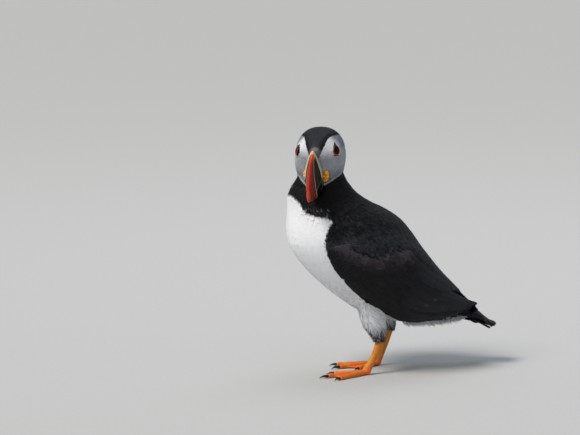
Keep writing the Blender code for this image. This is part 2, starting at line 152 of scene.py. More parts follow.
def along(rows: Sequence[Sequence[float]], share: float) -> np.ndarray:
    """A Catmull-Rom value of a list of rows.

    Args:
        rows: The rows of numbers that the curve passes through.
        share: How far along, from 0 to 1; a little more runs straight on.

    Returns:
        The row at that place.
    """
    table = np.asarray(rows, float)
    place = share * (len(table) - 1)
    i = int(min(max(math.floor(place), 0), len(table) - 2))
    t = place - i
    b, c = table[i], table[i + 1]
    if t > 1.0 or t < 0.0:
        return b + (c - b) * t
    a = table[i - 1] if i else 2 * b - c
    d = table[i + 2] if i + 2 < len(table) else 2 * c - b
    return b + 0.5 * t * (c - a + t * (2 * a - 5 * b + 4 * c - d + t * (3 * (b - c) + d - a)))


def polygon_distance(points: np.ndarray, corners: Sequence[tuple[float, float]]) -> np.ndarray:
    """How far inside a closed outline each point lies.

    Args:
        points: Rows of two coordinates.
        corners: The outline's corners in order.

    Returns:
        The distance to the outline, positive inside and negative outside.
    """
    ring = np.asarray(corners, float)
    nearest = np.full(len(points), 1e9)
    inside = np.zeros(len(points), bool)
    for a, b in zip(ring, np.roll(ring, -1, axis=0)):
        edge, reach = b - a, points - a
        share = np.clip((reach @ edge) / max(edge @ edge, 1e-9), 0.0, 1.0)
        nearest = np.minimum(nearest, np.linalg.norm(reach - share[:, None] * edge, axis=1))
        crosses = (a[1] > points[:, 1]) != (b[1] > points[:, 1])
        slope = (b[0] - a[0]) * (points[:, 1] - a[1]) / (b[1] - a[1] if b[1] != a[1] else 1e-9) + a[0]
        inside ^= crosses & (points[:, 0] < slope)
    return np.where(inside, nearest, -nearest)


def over_shoulder(rows: np.ndarray) -> np.ndarray:
    """How far above the shoulder feathers' edge rows of points in the bird's frame lie."""
    line = np.asarray(SHOULDER)
    return rows[..., 2] - np.interp(rows[..., 0], line[:, 0], line[:, 1])


def new_object(name: str, mesh: Mesh) -> Object:
    """An object at the origin that carries the mesh."""
    obj = bpy.data.objects.new(name, mesh)
    bpy.context.scene.collection.objects.link(obj)
    return obj


def from_bmesh(name: str, bm: bmesh.types.BMesh, smooth: bool = True) -> Object:
    """Turns a bmesh into an object and frees it.

    Args:
        name: The piece's name.
        bm: The finished shape, in metres in the part's frame.
        smooth: Whether its faces are shaded smooth.

    Returns:
        The new object.
    """
    bmesh.ops.recalc_face_normals(bm, faces=bm.faces[:])
    for face in bm.faces:
        face.smooth = smooth
    mesh = bpy.data.meshes.new(name)
    bm.to_mesh(mesh)
    bm.free()
    return new_object(name, mesh)


def positions(mesh: Mesh) -> np.ndarray:
    """The mesh's vertices as rows."""
    flat = np.empty(len(mesh.vertices) * 3, np.float32)
    mesh.vertices.foreach_get("co", flat)
    return flat.reshape(-1, 3).astype(float)


def point_normals(mesh: Mesh) -> np.ndarray:
    """The mesh's vertex normals as rows."""
    flat = np.empty(len(mesh.vertices) * 3, np.float32)
    mesh.vertex_normals.foreach_get("vector", flat)
    return flat.reshape(-1, 3).astype(float)


def set_positions(mesh: Mesh, rows: np.ndarray) -> None:
    """Moves the mesh's vertices to the rows."""
    mesh.vertices.foreach_set("co", rows.astype(np.float32).ravel())
    mesh.update()


def set_attribute(mesh: Mesh, name: str, rows: np.ndarray) -> None:
    """Stores a value for each vertex.

    Args:
        mesh: The mesh that gets it.
        name: The attribute's name, as its material reads it.
        rows: One number, three numbers or four numbers a vertex.
    """
    kinds = {1: ("FLOAT", "value"), 3: ("FLOAT_VECTOR", "vector"), 4: ("FLOAT_COLOR", "color")}
    kind, key = kinds[1 if rows.ndim == 1 else rows.shape[1]]
    mesh.attributes.new(name, kind, "POINT").data.foreach_set(key, rows.astype(np.float32).ravel())


def tree_of(objects: Sequence[Object]) -> BVHTree:
    """One search tree over the faces of several objects."""
    points, faces, count = [], [], 0
    for obj in objects:
        points.extend(v.co.copy() for v in obj.data.vertices)
        faces.extend([count + i for i in p.vertices] for p in obj.data.polygons)
        count = len(points)
    return BVHTree.FromPolygons(points, faces)


def refined(name: str, nodes: Sequence[str], voxel: float, swell: float, rounds: int) -> Object:
    """A fine, smooth skin over the solids of some nodes.

    Args:
        name: The new piece's name.
        nodes: The nodes whose solids it follows; the nodes themselves aren't touched.
        voxel: Its face size in millimetres.
        swell: How far the solids are swollen first, in millimetres, so that their gaps close.
        rounds: How many rounds of smoothing it gets.

    Returns:
        The new object.
    """
    bm = bmesh.new()
    for node in nodes:
        bm.from_mesh(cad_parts[node].data)
    bmesh.ops.remove_doubles(bm, verts=bm.verts[:], dist=0.02 * MM)
    bm.normal_update()
    pushes = [vert.normal * swell * MM for vert in bm.verts]
    for vert, push in zip(bm.verts, pushes):
        vert.co += push
    rough = bpy.data.meshes.new("rough")
    bm.to_mesh(rough)
    bm.free()
    shell = new_object("rough", rough)
    remesh = shell.modifiers.new("remesh", "REMESH")
    remesh.mode, remesh.voxel_size = "VOXEL", voxel * MM
    fine = bmesh.new()
    fine.from_object(shell, bpy.context.evaluated_depsgraph_get())
    bpy.data.objects.remove(shell)
    for _ in range(rounds):
        bmesh.ops.smooth_vert(fine, verts=fine.verts[:], factor=0.5,
                              use_axis_x=True, use_axis_y=True, use_axis_z=True)
    return from_bmesh(name, fine)


def relax(mesh: Mesh, around: np.ndarray, rounds: int) -> None:
    """Smooths the vertices that a mask picks out, round after round."""
    bm = bmesh.new()
    bm.from_mesh(mesh)
    bm.verts.ensure_lookup_table()
    verts = [bm.verts[int(i)] for i in np.flatnonzero(around)]
    for _ in range(rounds):
        bmesh.ops.smooth_vert(bm, verts=verts, factor=0.5, use_axis_x=True, use_axis_y=True,
                              use_axis_z=True)
    bm.to_mesh(mesh)
    bm.free()


def loft(rings: Sequence[Sequence[Vector]]) -> bmesh.types.BMesh:
    """A closed shape through rings of points.

    Args:
        rings: Rows of the same number of points, from one end to the other.

    Returns:
        A bmesh whose rings are bridged and whose ends are closed to a point.
    """
    bm = bmesh.new()
    edges: list[bmesh.types.BMEdge] = []
    previous: list[bmesh.types.BMEdge] = []
    for ring in rings:
        verts = bmesh.ops.create_circle(bm, segments=len(ring), radius=1.0)["verts"]
        for vert, point in zip(verts, ring):
            vert.co = point
        current = list({edge for vert in verts for edge in vert.link_edges})
        if previous:
            bmesh.ops.bridge_loops(bm, edges=previous + current)
        edges, previous = edges or current, current
    for end in (edges, previous):
        rim = bmesh.ops.contextual_create(bm, geom=end)["faces"]
        bmesh.ops.poke(bm, faces=rim)
    return bm


def dress(obj: Object, slot: Slot, material: Material, *nodes: str) -> Object:
    """Gives a piece its finish and its place in the frame.

    Args:
        obj: The piece.
        slot: The record's slot that the piece stands for; not used.
        material: Its finish.
        *nodes: The nodes of the frame that it stands for.

    Returns:
        The same piece.
    """
    obj.data.materials.clear()
    obj.data.materials.append(material)
    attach(obj, "root")
    if nodes:
        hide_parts(*nodes)
    log.info("%s: %d triangles", obj.name, sum(len(p.vertices) - 2 for p in obj.data.polygons))
    return obj


# ---------------------------------------------------------------------------------------------
# Finishes


def linear(code: str) -> tuple[float, float, float, float]:
    """A hex sRGB colour as linear RGBA."""
    parts = [int(code[i:i + 2], 16) / 255 for i in (1, 3, 5)]
    return (*(c / 12.92 if c <= 0.04045 else ((c + 0.055) / 1.055) ** 2.4 for c in parts), 1.0)


def plug(tree: NodeTree, node: Node, links: dict) -> None:
    """Sets a node's inputs, by name or number, to values or to the outputs linked to them."""
    for key, value in links.items():
        if isinstance(value, NodeSocket):
            tree.links.new(value, node.inputs[key])
        else:
            node.inputs[key].default_value = value


def add(tree: NodeTree, kind: str, links: dict | None = None, **settings: object) -> Node:
    """Adds a node.

    Args:
        tree: The tree that it goes into.
        kind: Its type's name without "ShaderNode".
        links: Its inputs by name or number: a value, or the output that is linked to it.
        **settings: Its own properties.

    Returns:
        The new node.
    """
    node = tree.nodes.new("ShaderNode" + kind)
    for key, value in settings.items():
        setattr(node, key, value)
    plug(tree, node, links or {})
    return node


def number(tree: NodeTree, operation: str, *values: object) -> NodeSocket:
    """The result of a Math node on values or outputs."""
    return add(tree, "Math", dict(enumerate(values)), operation=operation).outputs[0]


def product(tree: NodeTree, first: object, *others: object) -> NodeSocket:
    """The product of values or outputs."""
    for other in others:
        first = number(tree, "MULTIPLY", first, other)
    return first


def stored(tree: NodeTree, name: str) -> NodeSocket:
    """A number that comes with the vertices."""
    return add(tree, "Attribute", attribute_name=name).outputs["Fac"]


def blend(tree: NodeTree, share: object, first: object, second: object,
          way: str = "MIX") -> NodeSocket:
    """Mixes two colours.

    Args:
        tree: The tree of the finish.
        share: A number or output: 0 gives the first colour, 1 the second.
        first: A colour or output.
        second: A colour or output.
        way: The blend type.

    Returns:
        The mixed colour's output.
    """
    node = add(tree, "Mix", {0: share, 6: first, 7: second}, data_type="RGBA", blend_type=way)
    return node.outputs[2]


def ranged(tree: NodeTree, value: object, *limits: float) -> NodeSocket:
    """A value taken smoothly from the first two limits to the last two."""
    links = dict(enumerate((value, *limits)))
    return add(tree, "MapRange", links, interpolation_type="SMOOTHSTEP").outputs[0]


def start_material(name: str) -> tuple[Material, NodeTree, Node]:
    """A new material, its tree and its Principled shader."""
    material = bpy.data.materials.new(name)
    material.use_nodes = True
    tree = material.node_tree
    tree.nodes.clear()
    shader = add(tree, "BsdfPrincipled")
    output = add(tree, "OutputMaterial")
    tree.links.new(shader.outputs[0], output.inputs[0])
    return material, tree, shader


def grain(tree: NodeTree, size: float, detail: float = 3.0, stretch: tuple = (1.0, 1.0, 1.0),
          roughness: float = 0.55) -> NodeSocket:
    """Noise on the piece's own coordinates.

    Args:
        tree: The tree of the finish.
        size: The size of a patch, in millimetres.
        detail: How many finer octaves it has.
        stretch: How much finer it is along each axis.
        roughness: How strong the finer octaves are.

    Returns:
        The noise's value, from about 0.2 to 0.8.
    """
    place = add(tree, "TexCoord").outputs["Object"]
    scaled = add(tree, "Mapping", {"Vector": place, "Scale": stretch}).outputs[0]
    links = {"Vector": scaled, "Scale": 1.0 / (size * MM), "Detail": detail, "Roughness": roughness}
    return add(tree, "TexNoise", links).outputs[0]


def bump(tree: NodeTree, shader: Node, height: NodeSocket,
         depth: float) -> None:
    """Gives a shader a relief.

    Args:
        tree: The tree of the finish.
        shader: The shader that gets it.
        height: The relief's height from 0 to 1.
        depth: What 1 stands for, in millimetres.
    """
    node = add(tree, "Bump", {"Height": height, "Distance": depth * MM, "Strength": 1.0})
    tree.links.new(node.outputs[0], shader.inputs["Normal"])


@dataclass(frozen=True)
class PlumageFinish:
    """Keratin feather vanes: matt velvet with a faint gloss where barbs lie flat.

    The markings come with the vertices: red is how white a feather is, green how grey, blue how
    brown, and alpha how far along the feather the point lies.
    """

    name: str = "feather_keratin"
    dark: str = "#09090b"
    grey: str = "#707987"
    brown: str = "#4a3d44"
    white: str = "#f1f3f7"
    # tip: the colour of the dark feathers' pale edges, partly their own and partly painted highlight
    tip: str = "#565a64"
    barb: float = 0.42  # barbs are about 0.1 mm apart; drawn coarser so that they show
    roughness: float = 0.50
    sheen: float = 0.02

    def material(self) -> Material:
        """The finished material."""
        material, tree, shader = start_material(self.name)
        marks = add(tree, "Attribute", attribute_name="marks")
        parts = add(tree, "SeparateColor", {0: marks.outputs["Color"]})
        vane = add(tree, "SeparateXYZ", {0: add(tree, "Attribute", attribute_name="vane").outputs["Vector"]})
        rim = stored(tree, "rim")
        share = marks.outputs["Alpha"]
        mottle = grain(tree, 9.0, 4.0)
        fine = grain(tree, 1.3, 2.0)
        colour = blend(tree, parts.outputs[1], linear(self.dark), linear(self.grey))
        colour = blend(tree, parts.outputs[2], colour, linear(self.brown))
        # Dark feathers have paler, slate edges, partly their own and partly painted highlight, strongest
        # where the feathers are greyest; on the jet black of the neck they hardly show.
        rims_and_glint = product(tree, ranged(tree, rim, 0.66, 1.0, 0.0, 1.0),
                       ranged(tree, parts.outputs[1], 0.01, 0.09, 0.05, 0.60),
                       ranged(tree, parts.outputs[1], 0.35, 0.6, 1.0, 0.0),
                       ranged(tree, mottle, 0.35, 0.65, 0.25, 1.0))
        colour = blend(tree, rims_and_glint, colour, linear(self.tip))
        colour = blend(tree, parts.outputs[0], colour, linear(self.white))
        # Each feather is a little lighter or darker than the next, and darker at its root.
        lot = ranged(tree, vane.outputs[2], 0.0, 1.0, 0.88, 1.04)
        root = ranged(tree, share, 0.0, 0.5, 0.90, 1.0)
        tint = product(tree, lot, root, ranged(tree, mottle, 0.3, 0.7, 0.92, 1.04))
        # White feathers lie so close that they look like one soft surface.
        even = product(tree, number(tree, "SUBTRACT", 1.0, tint),
                       ranged(tree, parts.outputs[0], 0.3, 0.9, 0.0, 0.75))
        tint = number(tree, "ADD", tint, even)
        colour = blend(tree, 1.0, colour, tint, "MULTIPLY")
        rough = number(tree, "ADD", ranged(tree, fine, 0.2, 0.8, self.roughness - 0.1, self.roughness + 0.14),
                       product(tree, parts.outputs[0], 0.25))
        # Barbs slant forward from the shaft on both sides.
        slant = number(tree, "SUBTRACT", vane.outputs[1], number(tree, "ABSOLUTE", vane.outputs[0]))
        wave = number(tree, "SINE", product(tree, slant, 2 * math.pi / self.barb))
        bump(tree, shader, number(tree, "ADD", product(tree, wave, 0.3), fine), 0.06)
        plug(tree, shader, {"Base Color": colour, "Roughness": rough, "Specular IOR Level": 0.12,
                            "Sheen Weight": self.sheen, "Sheen Roughness": 0.5})
        return material


@dataclass(frozen=True)
class HornFinish:
    """The bill's horn in summer: glossy, faintly grooved plates, duller where they are worn.

    Its zones come with the vertices as distances in millimetres: "ridge" ahead of the cream ridge,
    "gape" above the line of the mouth and "reach" along the bill; "culmen" is 1 at the edge of the
    bright stripe down its top. The flanks beside the stripe are a darker red as painted shade.
    """

    name: str = "bill_horn"
    red: str = "#b41c0c"
    orange: str = "#f0480c"
    # flesh is a painted highlight down the crest; side and deep are painted shade on the flanks, and deep
    # also darkens the random patches
    flesh: str = "#dd6350"
    side: str = "#7a1a10"
    deep: str = "#380d09"
    slate: str = "#0f1115"
    cream: str = "#cdb38a"
    tip: str = "#b8683e"

    def material(self) -> Material:
        """The finished material."""
        material, tree, shader = start_material(self.name)
        ridge, gape, culmen, reach = (stored(tree, name) for name in ("ridge", "gape", "culmen", "reach"))
        patches, fine = grain(tree, 5.0, 4.0), grain(tree, 0.5, 3.0)
        top = blend(tree, ranged(tree, reach, 5.0, 14.0, 0.0, 1.0), linear(self.orange),
                    linear(self.red))
        # A painted highlight: pale flesh pink down the middle of the stripe.
        top = blend(tree, ranged(tree, culmen, 0.05, 0.45, 0.20, 0.0), top, linear(self.flesh))
        # Painted shade: beside the stripe the flanks ahead of the ridge are a darker red, darkest next to the
        # ridge.
        flank = blend(tree, ranged(tree, ridge, 0.5, 5.0, 0.95, 0.0), linear(self.side),
                      linear(self.deep))
        front = blend(tree, ranged(tree, culmen, 0.85, 1.1, 1.0, 0.0), flank, top)
        front = blend(tree, ranged(tree, reach, 29.0, 33.5, 0.0, 0.4), front, linear(self.tip))
        front = blend(tree, ranged(tree, patches, 0.48, 0.75, 0.0, 0.30), front, linear(self.deep))
        back = blend(tree, ranged(tree, patches, 0.4, 0.7, 0.0, 0.6), linear(self.slate), linear("#0d0e11"))
        # Painted shade: below the line of the mouth the lower jaw's slate is nearly black.
        back = blend(tree, ranged(tree, gape, 0.0, -0.6, 0.0, 0.8), back, linear("#08090a"))
        colour = blend(tree, ranged(tree, ridge, -0.08, 0.08, 0.0, 1.0), back, front)
        on_ridge = number(tree, "SUBTRACT", 0.50, number(tree, "ABSOLUTE", ridge))
        colour = blend(tree, ranged(tree, on_ridge, -0.12, 0.12, 0.0, 1.0), colour, linear(self.cream))
        root = product(tree, ranged(tree, reach, 2.2, 3.2, 1.0, 0.0),
                       ranged(tree, culmen, 1.5, 2.1, 1.0, 0.0))
        colour = blend(tree, root, colour, linear(self.cream))
        at_gape = number(tree, "SUBTRACT", 0.45, number(tree, "ABSOLUTE", gape))
        colour = blend(tree, ranged(tree, at_gape, -0.3, 0.3, 0.0, 0.3), colour, linear("#b89a78"))
        bump(tree, shader, number(tree, "ADD", fine, patches), 0.10)
        plug(tree, shader, {"Base Color": colour, "Roughness": ranged(tree, fine, 0.2, 0.8, 0.36, 0.52),
                            "IOR": 1.54, "Specular IOR Level": 0.10})
        return material


@dataclass(frozen=True)
class SkinFinish:
    """Bare living skin: soft satin, mottled, pebbled with small scales and creased at its joints.

    "wear_and_shade" on the vertices takes it towards its second colour; in the rosettes' folds that is
    painted shade.
    """

    name: str
    base: str
    second: str
    dark: str
    scale: float = 0.9  # the size of a scale in millimetres
    relief: float = 0.12
    roughness: float = 0.42

    def material(self) -> Material:
        """The finished material."""
        material, tree, shader = start_material(self.name)
        wear_and_shade = stored(tree, "wear_and_shade")
        place = add(tree, "TexCoord").outputs["Object"]
        cells = add(tree, "TexVoronoi", {"Vector": place, "Scale": 1.0 / (self.scale * MM)},
                    feature="DISTANCE_TO_EDGE").outputs[0]
        patches = grain(tree, self.scale * 6, 4.0)
        colour = blend(tree, wear_and_shade, linear(self.base), linear(self.second))
        colour = blend(tree, ranged(tree, patches, 0.50, 0.78, 0.0, 0.45), colour, linear(self.dark))
        colour = blend(tree, ranged(tree, cells, 0.0, 0.10, 0.35, 0.0), colour, linear(self.dark))
        rough = ranged(tree, patches, 0.2, 0.8, self.roughness - 0.08, self.roughness + 0.15)
        bump(tree, shader, ranged(tree, cells, 0.0, 0.22, 0.0, 1.0), self.relief)
        plug(tree, shader, {"Base Color": colour, "Roughness": rough, "Subsurface Weight": 0.12,
                            "Subsurface Radius": (0.0012, 0.0004, 0.0002), "Subsurface Scale": 1.0})
        return material


@dataclass(frozen=True)
class EyeFinish:
    """A wet eye: a dark brown iris round a black pupil under a clear, sharp gloss.

    "disc" on the vertices is the distance from the eye's axis in millimetres.
    """

    name: str = "wet_eye"
    iris: str = "#1c0e0a"
    pupil: float = 1.7
    rim: float = 2.7

    def material(self) -> Material:
        """The finished material."""
        material, tree, shader = start_material(self.name)
        disc = stored(tree, "disc")
        streaks = grain(tree, 0.35, 4.0)
        iris = blend(tree, streaks, linear(self.iris), linear("#150a07"))
        colour = blend(tree, ranged(tree, disc, self.pupil - 0.12, self.pupil + 0.12, 0.0, 1.0),
                       linear("#020202"), iris)
        colour = blend(tree, ranged(tree, disc, self.rim - 0.3, self.rim + 0.1, 0.0, 1.0),
                       colour, linear("#0a0707"))
        bump(tree, shader, streaks, 0.01)
        plug(tree, shader, {"Base Color": colour, "Roughness": ranged(tree, streaks, 0.2, 0.8, 0.04, 0.09),
                            "Specular IOR Level": 0.1, "Coat Weight": 0.10, "Coat Roughness": 0.02})
        return material


@dataclass(frozen=True)
class StudioFinish:
    """Matt background paper for the floor."""

    name: str = "studio_paper"
    pale: str = "#bcbdbd"

    def material(self) -> Material:
        """The finished material."""
        material, tree, shader = start_material(self.name)
        fibres = grain(tree, 4.0, 3.0)
        colour = blend(tree, ranged(tree, fibres, 0.3, 0.7, 0.0, 0.25), linear(self.pale), linear("#b5b6b6"))
        bump(tree, shader, fibres, 0.05)
        plug(tree, shader, {"Base Color": colour, "Roughness": ranged(tree, fibres, 0.2, 0.8, 0.86, 0.94)})
        return material


# ---------------------------------------------------------------------------------------------
# Feathers


@dataclass(frozen=True)
class Vane:
    """The form of one feather, closed at its root and tip.

    Args:
        sides: How many corners its cross-section has.
        rings: For each cross-section, its share of the length and of the full width.
        camber: How far its edges hang, as a share of its width.
    """

    sides: int
    rings: Polyline
    camber: float = 0.10

    @property
    def stations(self) -> tuple[float, ...]:
        """Where along its length the vane has vertices."""
        return (0.0, *(place for place, _width in self.rings), 1.0)

    def build(self) -> tuple[np.ndarray, np.ndarray, np.ndarray]:
        """Makes the form once.

        Returns:
            Its vertices as (across, along, up) in shares of its size, the station of each, and its
            triangles.
        """
        bm = bmesh.new()
        verts = bmesh.ops.create_circle(bm, segments=self.sides, radius=0.5)["verts"]
        turn = Matrix.Rotation(math.radians(90.0), 4, "X")
        bmesh.ops.transform(bm, matrix=turn, verts=verts)
        edges = bm.edges[:]
        widths = (0.02, *(width for _place, width in self.rings), 0.02)
        levels = self.stations
        bmesh.ops.scale(bm, vec=(widths[0],) * 3, verts=verts)
        for k in range(1, len(levels)):
            grown = bmesh.ops.extrude_edge_only(bm, edges=edges)["geom"]
            verts = [item for item in grown if isinstance(item, bmesh.types.BMVert)]
            edges = [item for item in grown if isinstance(item, bmesh.types.BMEdge)
                     and all(v in verts for v in item.verts)]
            ratio = widths[k] / widths[k - 1]
            bmesh.ops.scale(bm, vec=(ratio, 1.0, ratio ** 0.5), verts=verts)
            bmesh.ops.translate(bm, vec=(0.0, levels[k] - levels[k - 1], 0.0), verts=verts)
        for level in (0.0, 1.0):
            end = [v for v in bm.verts if abs(v.co.y - level) < 1e-5]
            bmesh.ops.pointmerge(bm, verts=end, merge_co=(0.0, level, 0.0))
        bmesh.ops.recalc_face_normals(bm, faces=bm.faces[:])
        bmesh.ops.triangulate(bm, faces=bm.faces[:])
        bm.verts.index_update()
        points = np.array([v.co for v in bm.verts])
        faces = np.array([[v.index for v in f.verts] for f in bm.faces])
        bm.free()
        station = np.abs(points[:, 1:2] - np.array(levels)[None, :]).argmin(axis=1)
        return points, station, faces


PLUME = Vane(3, ((0.30, 0.8), (0.72, 1.0)))
CONTOUR = Vane(4, ((0.22, 0.72), (0.62, 1.0), (0.90, 0.62)))
DOWN = Vane(4, ((0.22, 0.72), (0.62, 1.0), (0.90, 0.70)), 0.035)
WISP = Vane(3, ((0.25, 1.0), (0.65, 0.7)), 0.0)
COVERT = Vane(4, ((0.15, 0.60), (0.45, 0.95), (0.75, 1.0), (0.93, 0.66)), 0.12)
FLIGHT = Vane(6, ((0.06, 0.40), (0.18, 0.80), (0.36, 1.0), (0.55, 1.0), (0.74, 0.92), (0.89, 0.68),
                  (0.97, 0.36)), 0.10)
TAIL = Vane(6, ((0.06, 0.40), (0.18, 0.80), (0.36, 1.0), (0.60, 1.0), (0.82, 1.0), (0.94, 0.88),
                (0.985, 0.60)), 0.08)


@dataclass
class Feathers:
    """A set of feathers laid out and ready to be made one mesh.

    Args:
        spines: Points along each feather, one for each station of its vane, in metres.
        lifts: The way out of the coat at those points.
        widths: The width of each feather in millimetres.
        thick: The thickness of each feather in millimetres.
        marks: White, grey and brown of each feather at each of those points, from 0 to 1.
        places: Each root's place on the unwrapped skin, from 0 to 1.
    """

    spines: np.ndarray
    lifts: np.ndarray
    widths: np.ndarray
    thick: np.ndarray
    marks: np.ndarray
    places: np.ndarray

    def __len__(self) -> int:
        """How many feathers there are."""
        return len(self.spines)

    def mesh(self, name: str, vane: Vane, rng: Generator) -> Object:
        """Makes the joined mesh.

        Args:
            name: The piece's name.
            vane: The form of its feathers.
            rng: Gives each feather its own tone.

        Returns:
            The new object, with "marks", "vane" and the bake map.
        """
        points, station, faces = vane.build()
        count, size = len(self), len(points)
        tangents = unit(np.gradient(self.spines, axis=1))
        sides = unit(np.cross(tangents, self.lifts))
        centre, side, lift = (rows[:, station] for rows in (self.spines, sides, self.lifts))
        across = points[None, :, 0] * self.widths[:, None]
        hang = vane.camber * (2.0 * points[None, :, 0]) ** 2 * self.widths[:, None]
        up = points[None, :, 2] * self.thick[:, None] - hang
        place = centre + (side * across[..., None] + lift * up[..., None]) * MM
        mesh = bpy.data.meshes.new(name)
        mesh.vertices.add(count * size)
        mesh.vertices.foreach_set("co", place.astype(np.float32).ravel())
        loops = (faces[None] + np.arange(count)[:, None, None] * size).reshape(-1)
        mesh.loops.add(len(loops))
        mesh.loops.foreach_set("vertex_index", loops.astype(np.int32))
        total = len(loops) // 3
        mesh.polygons.add(total)
        mesh.polygons.foreach_set("loop_start", (np.arange(total) * 3).astype(np.int32))
        mesh.polygons.foreach_set("use_smooth", np.ones(total, bool))
        mesh.update(calc_edges=True)
        # A vane is flat: its rim is a sharp edge, so that its face is not shaded like a pebble.
        half = np.array([np.abs(points[station == k, 0]).max() for k in station])
        rim = np.abs(points[:, 0]) >= 0.8 * half
        pairs = np.empty(len(mesh.edges) * 2, np.int32)
        mesh.edges.foreach_get("vertices", pairs)
        ends = pairs.reshape(-1, 2) % size
        same = points[ends[:, 0], 0] * points[ends[:, 1], 0] >= 0.0
        sharp = mesh.attributes.new("sharp_edge", "BOOLEAN", "EDGE")
        sharp.data.foreach_set("value", rim[ends].all(axis=1) & same)
        lengths = np.linalg.norm(np.diff(self.spines, axis=1), axis=2).sum(axis=1) / MM
        lot = np.repeat(rng.random(count)[:, None], size, axis=1)
        along_mm = points[None, :, 1] * lengths[:, None]
        set_attribute(mesh, "vane", np.stack((across, along_mm, lot), axis=2).reshape(-1, 3))
        share = np.broadcast_to(points[None, :, 1:2], (count, size, 1))
        tone = self.marks[:, station]
        set_attribute(mesh, "marks", np.concatenate((tone, share), axis=2).reshape(-1, 4))
        flanks = 2.0 * np.abs(points[:, 0]) * np.clip(points[:, 1] * 4.0, 0.0, 1.0)
        edge = np.maximum(flanks, points[:, 1] ** 4)
        set_attribute(mesh, "rim", np.tile(edge / max(edge.max(), 1e-6), count))
        patch = np.stack((points[:, 0], points[:, 1] - 0.5), axis=1)[None] * PATCH
        spot = (self.places[:, None, :] + patch).reshape(-1, 2)
        layer = mesh.uv_layers.new(name="OFBake")
        layer.data.foreach_set("uv", np.clip(spot[loops], 0.0, 1.0).astype(np.float32).ravel())
        return new_object(name, mesh)


